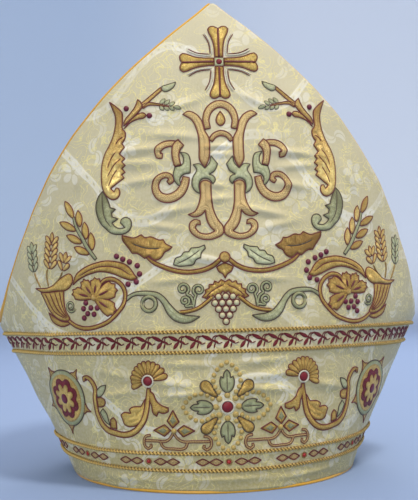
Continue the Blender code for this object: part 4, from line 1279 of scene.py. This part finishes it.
SIDE_SCROLL = (
    (32.6, 186.2, 2.6), (30.6, 187.6, 3.2), (31.6, 190.2, 3.2), (35.2, 190.8, 3.2), (38.9, 188.4, 3.6),
    (40.4, 183.6, 4.2), (38.0, 178.6, 4.8), (32.6, 176.9, 5.2), (26.4, 179.4, 5.2), (22.9, 184.4, 4.8),
    (21.6, 189.4, 4.0),
)
SIDE_COLLAR = (
    (19.2, 191.8), (18.8, 198.0), (20.3, 203.2), (24.6, 204.6), (22.9, 200.5), (23.9, 196.8), (28.2, 195.6),
    (29.3, 190.2), (26.4, 184.6), (24.6, 184.2), (25.4, 188.4), (23.6, 190.8),
)
SIDE_SHAFT = (
    (26.4, 196.4, 4.0), (27.4, 200.4, 4.0), (27.6, 204.4, 4.4), (26.6, 208.0, 5.2), (24.2, 210.4, 5.0),
)
SIDE_HOOK = (
    (26.0, 209.4, 3.4), (30.6, 210.0, 3.6), (35.2, 209.0, 4.0), (38.2, 206.2, 4.0), (38.0, 203.0, 3.6),
    (35.6, 202.6, 3.0),
)
QUARTERS = (0, 90, 180, 270)
CROSS_AT = (0.0, 260.2)
# The cross is this much lower than it is wide.
CROSS_SQUASH = 0.95
CROSS_ARM = (
    # along the axis from the middle, half width
    (3.0, 2.5), (10.0, 2.8), (15.0, 3.8), (20.0, 5.8), (22.0, 6.2), (23.6, 4.8), (23.8, 2.6), (22.6, 0.0),
)
CROSS_RIB = ((3.4, 0.0), (12.0, 0.0), (22.2, 0.0))
# The silk of an arm grows lighter between these places.
CROSS_LIGHT = ((4.0, 0.0), (22.0, 0.0))
CROSS_GUARDS = (
    # look, radius, then along the axis and off it
    ("white", 0.42, ((4.4, 4.2), (9.0, 4.4), (14.0, 5.4), (19.6, 8.2))),
    ("outline", 0.3, ((5.2, 5.2), (9.2, 5.5), (13.6, 6.4), (18.8, 9.2))),
)
CROSS_SQUARE = ((-2.9, 2.9), (-2.9, -2.9), (2.9, -2.9), (2.9, 2.9))
TREFOIL_VEIN = ((10.0, 0.0), (20.6, 0.0))
GRAPE_PITCH = 4.3
# u, z and radius
CRESCENT_LOOP = (45.9, 114.2, 4.2)
# u, z, outer radius, inner radius, turns, start in degrees
FLOWER_TENDRIL = (99.4, 113.4, 3.8, 0.8, 1.4, 200)
WHEAT_STEP = 5.4
ROSE_POINT = (
    # radius from the medallion's centre, degrees from the point's axis
    (16.8, -15), (18.8, -10), (20.2, -4), (23.8, 0), (20.2, 4), (18.8, 10), (16.8, 15),
)
# Radii of the scallops, repeated eight times round the medallion.
ROSE_FIELD = (11.4, 13.0, 13.6, 13.0)
ROSE_BLOOM = (6.6, 9.2, 9.9, 9.2)
FERN_PITCH = 10.0
FERN_START = 3.0
FERN_LEAVES = (
    # foot u, foot z, tip u and tip z from the stitch's own place, width
    (-5.6, 3.7, 1.4, 0.4, 2.5), (0.2, 1.0, 5.0, -1.0, 1.7), (1.0, 0.4, -2.6, -4.4, 2.35),
    (2.8, -0.2, 1.6, -4.6, 1.1),
)
FERN_LOOPS = (
    ((-5.0, 3.4), (-7.4, 2.4), (-7.6, -0.2), (-5.4, -1.4), (-3.2, -0.6)),
    ((0.6, 0.8), (2.0, 3.0), (4.2, 3.4)),
)
# A group is a red dot with two diamonds on either side.
DIAMOND_GROUP_PITCH = 49.2
DIAMOND_PLACES = (-15.6, -7.6, 0.0, 7.6, 15.6)
DIAMOND_SEAM_GAP = 5.0
DIAMOND = (
    (-4.1, 0.0), (-1.4, 1.5), (0.0, 2.0), (1.4, 1.5), (4.1, 0.0), (1.4, -1.5), (0.0, -2.0), (-1.4, -1.5),
)


# ---------------------------------------------------------------- on the centre line
def make_cross():
    """Four arms round a stone, each with a raised rib, and a white and a maroon thread on both sides."""
    cross = Piece(CENTRE_SHIFT + 0.3)
    for quarter in QUARTERS:
        rib = turned(CROSS_RIB, CROSS_AT, quarter, CROSS_SQUASH)
        inner, outer = turned(CROSS_LIGHT, CROSS_AT, quarter, CROSS_SQUASH)
        arm = smooth(turned(both_sides(CROSS_ARM), CROSS_AT, quarter, CROSS_SQUASH), corner=50)
        cross.outlined(arm, "gold", creases=(rib,), slope=(*inner, *outer, 0.35, 0.9))
        cross.cord(smooth(rib, closed=False), "outline", 0.62, closed=False, lift=0.35)
        for side in (-1, 1):
            for look, radius, rows in CROSS_GUARDS:
                guard = turned([(a, side * w) for a, w in rows], CROSS_AT, quarter, CROSS_SQUASH)
                cross.vein(smooth(guard, closed=False), look, radius)
    square = turned(CROSS_SQUARE, CROSS_AT, 0, CROSS_SQUASH)
    cross.fill(smooth(square, corner=40), "pale", height=0.7, shoulder=1.0, tone=0.9, grid=0.4)
    cross.bead(*CROSS_AT, 1.9, "stone", height=1.1, lift=0.3)
    cross.lay("cross_of_gold_silk", "gold_thread", "cross")


def make_arch():
    arch = Piece()
    arch.outlined(band(CENTRE_ARCH), "tan", height=0.9, tone=0.6)
    arch.outlined(band(INNER_ARCH), "tan", height=0.8)
    arch.outlined(smooth(ARCH_DROP), "yellow", height=0.8, tone=0.7)
    arch.lay("strapwork_arch", "gold_thread", "centre_arch")


def make_garland():
    garland = Piece()
    for side in (-1, 1):
        half = band([(side * u, z, width) for u, z, width in GARLAND_HALF])
        garland.outlined(half, "gold", height=0.8, shoulder=1.2)
    garland.outlined(smooth(GARLAND_DROP, corner=50), "gold", height=0.8, tone=0.6)
    garland.outlined(circle(0.0, 141.0, 3.1, 26), "yellow", height=1.3, lift=0.2)
    garland.lay("garland", "gold_thread", "centre_garland")


def make_grapes():
    """A saw-toothed vine leaf over a bunch of grapes."""
    grapes = Piece()
    edge = [(0.0, 126.4), *VINE_HALF, (0.0, 120.0), *((-u, z) for u, z in reversed(VINE_HALF))]
    ribs = [smooth([(side * u, z) for u, z in VINE_RIB], closed=False) for side in (-1, 1)]
    grapes.outlined(smooth(edge, corner=50), "gold", height=0.9, creases=ribs, radius=0.36)
    for rib in ribs:
        grapes.vein(rib, "outline", 0.26, 0.35)
    for z, count in GRAPE_ROWS:
        for i in range(count):
            u = (i - (count - 1) / 2) * GRAPE_PITCH
            grapes.bead(u, z, 1.75, "grape", height=1.3)
            grapes.cord(circle(u, z, 2.0), "outline", 0.3)
    grapes.lay("vine_and_grapes", "gold_thread", "grape_cluster")


def make_central_flower():
    """Four trefoils inside loops of beads, four drops between them and a stone in the middle."""
    flower = Piece()
    loop = spaced(smooth(both_sides(BEAD_LOOP), closed=False), BEAD_PITCH)
    for quarter in QUARTERS:
        vein = turned(TREFOIL_VEIN, FLOWER_AT, quarter)
        petal = smooth(turned(both_sides(TREFOIL), FLOWER_AT, quarter), corner=70)
        flower.outlined(petal, "pale", edge="dark", height=0.8, creases=(vein,), tone=0.15)
        flower.vein(smooth(vein, closed=False), "dark", 0.22, 0.3)
        for place in turned(loop, FLOWER_AT, quarter):
            flower.bead(*place, 1.45, "bead", height=1.1, sides=10)
        drop = smooth(turned(both_sides(TEARDROP), FLOWER_AT, quarter + 45), corner=70)
        flower.outlined(drop, "gold", edge="dark", height=0.9)
        for angle in (quarter, quarter + 45):
            flower.bead(*polar(FLOWER_AT, 6.9, angle), 1.9, "bead", height=1.0, sides=10, rings=3)
    flower.cord(circle(*FLOWER_AT, 3.9), "white", 0.5)
    flower.bead(*FLOWER_AT, 3.4, "stone", height=1.7, sides=20, rings=6)
    flower.lay("central_flower_of_silk", "sage_thread", "central_flower")


# ---------------------------------------------------------------- the upper leaves, in pairs
def make_acanthus(side):
    acanthus = Piece()
    slits = [smooth(slit, closed=False) for slit in ACANTHUS_SLITS]
    slope = (70.0, 236.0, 64.0, 188.0, 0.1, 0.95)
    acanthus.outlined(smooth(ACANTHUS, corner=50), "yellow", height=1.1, creases=slits, slope=slope)
    for slit in slits:
        acanthus.vein(slit, "outline", 0.4, 0.25)
    acanthus.lay_twin(side, "acanthus", "gold_thread", "acanthus_leaf")


def make_bud_branch(side):
    branch = Piece()
    for stem in (BUD_STEM, SPRAY_STEM):
        branch.outlined(band(stem), "yellow", height=0.5, shoulder=0.6, radius=0.3)
    for calyx in (CALYX_UPPER, CALYX_LOWER):
        branch.outlined(smooth(calyx, corner=50), "yellow", height=0.9)
    branch.outlined(smooth(BUD, corner=50), "pale", edge="dark", radius=0.28, height=0.8, tone=0.9)
    fine = {"edge": "dark", "radius": 0.17, "height": 0.6, "shoulder": 0.9, "grid": 0.4}
    for row in SPRAY:
        branch.outlined(leaf(*row), "pale", tone=0.9, **fine)
    for u, z in HIGH_BERRIES:
        branch.bead(u, z, 1.8, "berry")
    branch.lay_twin(side, "branch", "gold_thread", "bud_branch")


def veined_leaf(rows, midrib, look, vein, corner=50, **how):
    """A leaf with one raised vein, given by its radius and lift."""
    piece, rib = Piece(), smooth(midrib, closed=False)
    piece.outlined(smooth(rows, corner=corner), look, creases=(rib,), **how)
    piece.vein(rib, "dark", *vein)
    return piece


def make_sage_leaf(side):
    slope = (79.0, 172.0, 60.0, 163.0, 0.05, 1.0)
    sage = veined_leaf(SAGE_LEAF, SAGE_MIDRIB, "sage", (0.26, 0.35), 55, edge="dark", slope=slope)
    sage.lay_twin(side, "sage_silk_leaf", "sage_thread", "sage_leaf")


def make_lobed_leaf(side):
    # Painted shade: the right twin takes lower tones than the left, as its threads turn from the light.
    slope = (60.0, 156.0, 40.0, 143.0, *by_side(side, (0.2, 0.8), (0.0, 0.35)))
    lobed = veined_leaf(LOBED_LEAF, LOBED_MIDRIB, "brown", (0.36, 0.35), slope=slope)
    lobed.lay_twin(side, "gold_silk_leaf", "gold_thread", "lobed_leaf")


def make_leaf_sprig(side):
    """A stem of small leaves. On the right the light catches the threads on one side of the stem only."""
    sprig = Piece()
    sprig.outlined(band(SPRIG_STEM), "pale", edge="dark", height=0.7, shoulder=1.0, radius=0.3)
    for row in SPRIG_LEAVES:
        foot_u, tip_u = row[0], row[2]
        look = by_side(side, "gold", "brown" if tip_u - foot_u > 4.0 else "yellow")
        sprig.outlined(leaf(*row), look, radius=0.32, height=0.8, shoulder=1.3, tone=0.85)
    sprig.lay_twin(side, "sprig", "gold_thread", "leaf_sprig")


def make_small_leaf(side):
    small = veined_leaf(SMALL_LEAF, SMALL_MIDRIB, "pale", (0.26, 0.3), edge="dark", height=0.8, tone=0.8)
    small.lay_twin(side, "small_leaf", "sage_thread", "small_sage_leaf")


# ---------------------------------------------------------------- the strapwork, in pairs
def lay_strap(side, path, slope, name, node):
    strap = Piece()
    strap.outlined(path, "tan", height=0.9, slope=slope)
    strap.lay_twin(side, name, "gold_thread", node)


def lay_collar(side, rows, tone, name, node):
    collar = Piece()
    collar.outlined(smooth(rows), "pale", edge="dark", height=1.1, tone=tone)
    collar.lay_twin(side, name, "sage_thread", node)


def make_strapwork(side):
    lay_strap(side, smooth(CENTRE_FOOT), (10, 187, 14, 154, 0.4, 0.7), "strapwork_foot", "centre_foot")
    # The shaft's silk lightens towards its flared top: painted highlight.
    lay_strap(side, smooth(CENTRE_STRAP), (10, 200, 18, 227, 0.4, 0.9), "strapwork_shaft", "centre_strap")
    lay_collar(side, CENTRE_COLLAR, 0.6, "strapwork_collar", "centre_collar")
    lay_strap(side, band(SIDE_SCROLL), (30, 191, 30, 175, 0.4, 0.7), "strapwork_scroll", "side_scroll")
    lay_collar(side, SIDE_COLLAR, 0.5, "scroll_collar", "side_collar")


def make_scroll_head(side):
    head = Piece()
    head.outlined(band(SIDE_HOOK), "tan", height=0.8, slope=(28.0, 210.0, 38.0, 203.0, 0.5, 1.0))
    head.outlined(band(SIDE_SHAFT), "tan", height=0.9, lift=0.35, slope=(26.0, 196.0, 25.0, 210.0, 0.4, 0.8))
    head.lay_twin(side, "scroll_head", "gold_thread", "side_scroll_head")


# ---------------------------------------------------------------- the wreaths, in pairs
def make_wreath_stem(side):
    ring = Piece()
    ring.outlined(band(RING_STEM), "gold", height=0.8, shoulder=1.0, radius=0.38, tone=0.6)
    ring.lay_twin(side, "wreath_ring", "gold_thread", "wreath_stem")


def make_scroll_leaf(side):
    scroll, fold = Piece(), smooth(SCROLL_FOLD, closed=False)
    scroll.outlined(smooth(SCROLL_LEAF, corner=55), "gold", creases=(fold,))
    scroll.vein(fold, "outline", 0.3, 0.4)
    for u, z in RING_BERRIES:
        scroll.bead(u, z, 1.8, "berry")
    scroll.lay_twin(side, "wreath_leaf", "gold_thread", "scroll_leaf")


def make_vine_flower(side):
    flower, foot = Piece(), np.array(FLOWER_CENTRE)
    for u, z, width in FLOWER_PETALS:
        way = np.array((u, z)) - foot
        across = np.array((-way[1], way[0])) / np.linalg.norm(way) * width
        edge = [foot + way * share - across * wide for share, wide in PETAL]
        edge += [foot + way * share + across * wide for share, wide in reversed(PETAL[:-1])]
        rib = foot + way * np.array((0.0, 0.42, 0.84))[:, None]
        # Painted shade: the right twin's petals take a lower tone than the left's.
        tone = by_side(side, 0.95, 0.65)
        flower.outlined(smooth(edge, corner=50), "brown", height=0.9, creases=(rib,), tone=tone, radius=0.36)
        near, far = foot + way * 0.24, foot + way * 0.66
        flower.fill(leaf(*near, *far, 1.5, 0.4), "outline", 0.3, 0.5, grid=0.3, lift=1.0)
    flower.bead(*FLOWER_CENTRE, 2.0, "yellow", height=1.0, lift=0.6, sides=16)
    for u, z in FLOWER_BERRIES:
        flower.bead(u, z, 1.8, "berry")
    flower.lined(spiral(*FLOWER_TENDRIL), "pale", 0.5)
    flower.lay_twin(side, "wreath_flower", "gold_thread", "vine_flower")


def lay_wheat(piece, row, stalk):
    """Works a stalk and the pairs of grains along it, with one more at the tip."""
    foot_u, foot_z, tip_u, tip_z, pairs, spread, look = row
    foot, tip = np.array((foot_u, foot_z)), np.array((tip_u, tip_z))
    length = np.linalg.norm(tip - foot)
    along = (tip - foot) / length
    across = np.array((-along[1], along[0]))
    how = {"edge": "dark" if look == "pale" else "outline", "radius": 0.26, "height": 0.8, "shoulder": 1.2}
    piece.vein(smooth(stalk, closed=False), "gilt", 0.55, -0.1)
    for i in range(pairs):
        root = foot + along * length * (0.04 + 0.78 * i / pairs)
        for side in (-1, 1):
            end = root + along * WHEAT_STEP + across * side * spread * 1.08
            grain = leaf(*(root + across * side * 0.5), *end, 3.0, 0.6, 0.3)
            piece.outlined(grain, look, tone=0.95, grid=0.4, **how)
    piece.outlined(leaf(*(tip - along * 6.4), *tip, 3.4, 0.45), look, **how)


def make_wheat_ears(side):
    """A pale ear on its own, and two yellow ears in one piece."""
    for name, slot, ears in (("pale_wheat_ear", "sage_thread", (0,)), ("wheat_ear", "gold_thread", (1, 2))):
        piece = Piece()
        for ear in ears:
            lay_wheat(piece, WHEAT_EARS[ear], WHEAT_STALKS[ear])
        piece.lay_twin(side, f"{name}_of_silk", slot, name)


def make_cornucopia(side):
    horn = Piece()
    flutes = [smooth(flute, closed=False) for flute in HORN_FLUTES]
    horn.outlined(smooth(HORN_BODY, corner=55), "gold", height=0.9, creases=flutes, tone=0.55)
    for flute in flutes:
        horn.vein(flute, "outline", 0.28, 0.4)
    horn.outlined(smooth(HORN_RIM, corner=60), "gold", height=1.2, tone=0.7)
    horn.outlined(smooth(HORN_LEAF, corner=60), "gold", height=0.8)
    horn.lay_twin(side, "cornucopia_of_silk", "gold_thread", "cornucopia")


def make_crescent(side):
    """A crescent leaf with a loop over it, three curls and the stem that runs to the grapes."""
    crescent = Piece()
    slope = (58.0, 120.0, 20.0, 104.0, 1.0, 0.6)
    crescent.outlined(smooth(CRESCENT, corner=60), "sage", edge="dark", height=0.9, slope=slope)
    loop = circle(*CRESCENT_LOOP, 32)
    crescent.lined(np.concatenate([loop, loop[:1]]), "sage", 0.95)
    for stem, (u, z, outer, turning, start) in CURLS:
        curl = spiral(u, z, outer, 0.9, 1.3, start, turning, 14)
        crescent.lined(smooth([CURL_FOOT, *stem, *curl], closed=False, corner=170), "pale", 0.6)
    crescent.lined(smooth(GRAPE_STEM, closed=False), "gold", 0.8, "outline")
    crescent.lay_twin(side, "sage_crescent", "sage_thread", "crescent_leaf")


# ---------------------------------------------------------------- the lowest motifs, in pairs
def make_lower_scroll(side):
    scroll = Piece()
    # Painted shade: the right twin takes lower tones than the left.
    scroll.outlined(band(C_SCROLL), "gold", height=0.9, shoulder=1.4, tone=by_side(side, 0.75, 0.55))
    folds = [smooth(fold, closed=False) for fold in SCROLL_LEAF_FOLDS]
    big_leaf = smooth(SCROLL_LEAF_BIG, corner=50)
    scroll.outlined(big_leaf, "gold", creases=folds, tone=by_side(side, 0.85, 0.5))
    for rows, look, edge in (
        (SCROLL_BUD, "pale", "dark"), (SCROLL_LOBE, "gold", "outline"), (SCROLL_DROP, "pale", "dark"),
        (SCROLL_BUDLET, "gold", "outline"),
    ):
        scroll.outlined(smooth(rows, corner=50), look, edge, 0.34, height=0.8)
    scroll.lay_twin(side, "silk_scroll", "gold_thread", "lower_scroll")


def make_palmette(side):
    fan = Piece()
    for direction, reach, width in PALMETTE_LOBES:
        foot, tip = (polar(PALMETTE_CENTRE, radius, 180 - direction) for radius in (3.6, reach))
        fan.outlined(leaf(*foot, *tip, width, 0.66, 0.9), "gold", radius=0.3, height=0.9, shoulder=1.2)
    fan.outlined(smooth(PALMETTE_FOOT, corner=55), "gold", height=0.9)
    fan.cord(circle(*PALMETTE_CENTRE, 3.4), "white", 0.5)
    fan.bead(*PALMETTE_CENTRE, 2.9, "stone", height=1.5, sides=18, rings=5)
    fan.lay_twin(side, "palmette_of_silk", "gold_thread", "palmette")


def make_lily(side):
    """Three open diamonds round a bead, over a foot of narrow curling straps."""
    lily = Piece()
    for diamond in LILY_DIAMONDS:
        path = smooth(diamond, corner=50)
        lily.outlined(path, "gold", height=0.7)
        inner = path.mean(0) + (path - path.mean(0)) * 0.56
        lily.fill(inner, "sage", height=0.5, shoulder=0.8, lift=0.5, tone=0.6, grid=0.4)
    lily.bead(*LILY_BEAD, 1.7, "bead", lift=0.4)
    for strap in LILY_STRAPS:
        path = band([(u, z, LILY_STRAP_WIDTH) for u, z in strap], 0.6)
        lily.outlined(path, "tan", height=0.6, shoulder=0.6, radius=0.27, tone=0.8, grid=0.35)
    lily.lay_twin(side, "lily_of_silk", "gold_thread", "lily_stand")


def make_medallion(side):
    """A maroon field with a gold bloom on a round pale ground, and five points round its edge."""
    rose = Piece()
    for i in range(5):
        point = [polar(MEDALLION_CENTRE, radius, 72 * i - 90 + turn) for radius, turn in ROSE_POINT]
        rose.outlined(smooth(point, corner=60), "gold", radius=0.32, height=0.6, shoulder=1.2, grid=0.4)
    ground, disc = circle(*MEDALLION_CENTRE, 18.2, 60), circle(*MEDALLION_CENTRE, 15.8, 48)
    rose.outlined(ground, "pale", "dark", 0.38, height=0.8, tone=0.3, grid=0.6)
    rose.fill(disc, "gold", height=0.5, shoulder=1.0, lift=0.5, tone=0.7, grid=0.6)
    field, bloom = (
        smooth([polar(MEDALLION_CENTRE, radii[i % 4], 11.25 * i) for i in range(32)], corner=70)
        for radii in (ROSE_FIELD, ROSE_BLOOM)
    )
    rose.fill(field, "maroon", height=0.5, shoulder=0.9, lift=0.8, tone=0.4)
    rose.outlined(bloom, "gold", height=0.7, shoulder=1.4, lift=1.1, tone=0.8, radius=0.26)
    rose.bead(*MEDALLION_CENTRE, 3.3, "berry", height=0.7, lift=1.7, sides=16)
    rose.lay_twin(side, "rose_medallion_of_silk", "maroon_thread", "rose_medallion")


# ---------------------------------------------------------------- on the bands
def make_fern_band(back):
    """Maroon fern stitches between the upper pair of cords."""
    ferns = Piece(0.0)
    reach = seam_reach(FERN_LINE[0])
    count = math.floor(seam_reach(FERN_LINE[1]) / FERN_PITCH)
    for i in range(-count, count):
        u = i * FERN_PITCH + FERN_START
        z = line_height(FERN_LINE, u, reach)
        for foot_u, foot_z, tip_u, tip_z, width in FERN_LEAVES:
            blade = leaf(u + foot_u, z + foot_z, u + tip_u, z + tip_z, width, 0.5)
            ferns.fill(blade, "maroon", 0.6, 0.7, grid=0.45)
        for loop in FERN_LOOPS:
            path = smooth([(u + du, z + dz) for du, dz in loop], closed=False)
            ferns.cord(path, "outline", 0.33, closed=False, sides=4)
    word = "back" if back else "front"
    ferns.lay(f"{word}_fern_stitches", "maroon_thread", back=back)


def make_diamond_band(back):
    """Rows of small diamonds and red dots between the lower pair of cords."""
    row = Piece(0.0)
    reach = seam_reach(DIAMOND_LINE[0])
    last = seam_reach(DIAMOND_LINE[1]) - DIAMOND_SEAM_GAP
    for group in range(-3, 4):
        middle = group * DIAMOND_GROUP_PITCH + (0.0 if back else CENTRE_SHIFT)
        for offset in DIAMOND_PLACES:
            u = middle + offset
            if abs(u) > last:
                continue
            z = line_height(DIAMOND_LINE, u, reach)
            if offset:
                path = smooth([(u + du, z + dz) for du, dz in DIAMOND], corner=60)
                row.outlined(path, "tan", height=0.5, shoulder=0.9, grid=0.45)
            else:
                row.bead(u, z, 1.35, "coral", height=1.0)
                row.cord(circle(u, z, 1.8), "tan", 0.3)
    word = "back" if back else "front"
    row.lay(f"{word}_diamond_row", "gold_thread", back=back)


# ---------------------------------------------------------------- stage, lights and camera
# Lengths from here on are metres, but for the camera's sensor in millimetres.
CAMERA_DISTANCE = 0.6656
CAMERA_SIDE = math.radians(-3.81)
CAMERA_HEIGHT = 0.1289
CAMERA_TILT = math.radians(1.68)
CAMERA_ROLL = math.radians(1.37)
FOCAL_PIXELS = 948.6
PICTURE_HEIGHT_PIXELS = 500
SENSOR = 36.0
COVE_RADIUS = 6.0
COVE_SWEEP = 3.2
COVE_TOP = 4.0
COVE_TURNS = 96
COVE_STEPS = 24
WORLD_COLOUR = (0.98, 0.975, 1.0, 1.0)
WORLD_STRENGTH = 0.87
LIGHTS = (
    # name, place, aim, size, power, colour
    ("key", (0.42, -0.62, 1.6), (0.0, 0.0, 0.15), 0.3, 15.5, (1.0, 0.97, 0.92)),
    ("fill", (-1.2, -2.7, 1.0), (0.0, 0.0, 0.1), 1.4, 26.5, (1.0, 0.98, 0.92)),
    ("rear", (0.3, 1.1, 0.9), (0.0, 0.0, 0.2), 0.8, 6.0, (1.0, 1.0, 1.0)),
)


def make_camera():
    data = bpy.data.cameras.new("camera")
    data.sensor_fit = "AUTO"
    data.sensor_width = SENSOR
    data.lens = FOCAL_PIXELS / PICTURE_HEIGHT_PIXELS * SENSOR
    camera = put_in_scene("camera", data)
    forward = Vector((-math.sin(CAMERA_SIDE), math.cos(CAMERA_SIDE), 0.0))
    right = Vector((math.cos(CAMERA_SIDE), math.sin(CAMERA_SIDE), 0.0))
    up = Vector((0.0, 0.0, 1.0))
    aim = forward * math.cos(CAMERA_TILT) + up * math.sin(CAMERA_TILT)
    above = up * math.cos(CAMERA_TILT) - forward * math.sin(CAMERA_TILT)
    turned_right = right * math.cos(CAMERA_ROLL) - above * math.sin(CAMERA_ROLL)
    turned_up = right * math.sin(CAMERA_ROLL) + above * math.cos(CAMERA_ROLL)
    place = Vector((
        CAMERA_DISTANCE * math.sin(CAMERA_SIDE), -CAMERA_DISTANCE * math.cos(CAMERA_SIDE), CAMERA_HEIGHT
    ))
    camera.matrix_world = Matrix((turned_right, turned_up, -aim)).transposed().to_4x4()
    camera.matrix_world.translation = place
    bpy.context.scene.camera = camera


def make_light(name, place, aim, size, power, colour):
    """A round lamp that the camera doesn't see."""
    data = bpy.data.lights.new(name, "AREA")
    data.shape = "DISK"
    data.size, data.energy, data.color = size, power, colour
    light = put_in_scene(name, data)
    light.location = place
    light.rotation_euler = (Vector(aim) - Vector(place)).to_track_quat("-Z", "Y").to_euler()
    light.visible_camera = False


def make_cove():
    """A round studio cove: a flat floor that sweeps up all round to a low wall."""
    bend = np.arange(COVE_STEPS + 1) * math.pi / 2 / COVE_STEPS
    radius = np.append(COVE_RADIUS - COVE_SWEEP + COVE_SWEEP * np.sin(bend), COVE_RADIUS)
    height = np.append(COVE_SWEEP - COVE_SWEEP * np.cos(bend), COVE_TOP)
    turn = np.arange(COVE_TURNS)[:, None] * math.tau / COVE_TURNS
    points = np.stack([np.cos(turn) * radius, np.sin(turn) * radius, height + 0 * turn], -1)
    count, faces = len(radius), []
    for k in range(COVE_TURNS):
        a, b = k * count, (k + 1) % COVE_TURNS * count
        faces += [(b + i, b + i + 1, a + i + 1, a + i) for i in range(count - 1)]
    flat_floor = tuple(k * count for k in range(COVE_TURNS))
    cove = put_mesh("floor", points, [*faces, flat_floor], ("floor",))
    cove.data.polygons.foreach_set("use_smooth", [True] * len(faces) + [False])


def make_world():
    world = bpy.data.worlds.new("studio")
    world.use_nodes = True
    background = world.node_tree.nodes["Background"]
    background.inputs["Color"].default_value = WORLD_COLOUR
    background.inputs["Strength"].default_value = WORLD_STRENGTH
    bpy.context.scene.world = world


PAIRED_PIECES = (
    make_acanthus, make_bud_branch, make_sage_leaf, make_lobed_leaf, make_leaf_sprig, make_small_leaf,
    make_strapwork, make_scroll_head, make_wreath_stem, make_scroll_leaf, make_vine_flower, make_wheat_ears,
    make_cornucopia, make_crescent, make_lower_scroll, make_palmette, make_lily, make_medallion,
)


def main():
    bpy.context.scene.view_settings.view_transform = "Standard"
    make_camera()
    make_cove()
    make_world()
    for light in LIGHTS:
        make_light(*light)
    make_horn("front_horn_brocade", False, "front_horn")
    make_horn("back_horn_brocade", True, "back_horn")
    make_gusset()
    make_piping("front_piping", False, -1)
    make_piping("back_piping", True, 1)
    make_rim_binding()
    for name, at_front, at_seam in CORDS:
        make_cord(name, (at_front, at_seam))
    for make_piece in (make_cross, make_arch, make_garland, make_grapes, make_central_flower):
        make_piece()
    for side in (-1, 1):
        for make_piece in PAIRED_PIECES:
            make_piece(side)
    for back in (False, True):
        make_fern_band(back)
        make_diamond_band(back)


main()
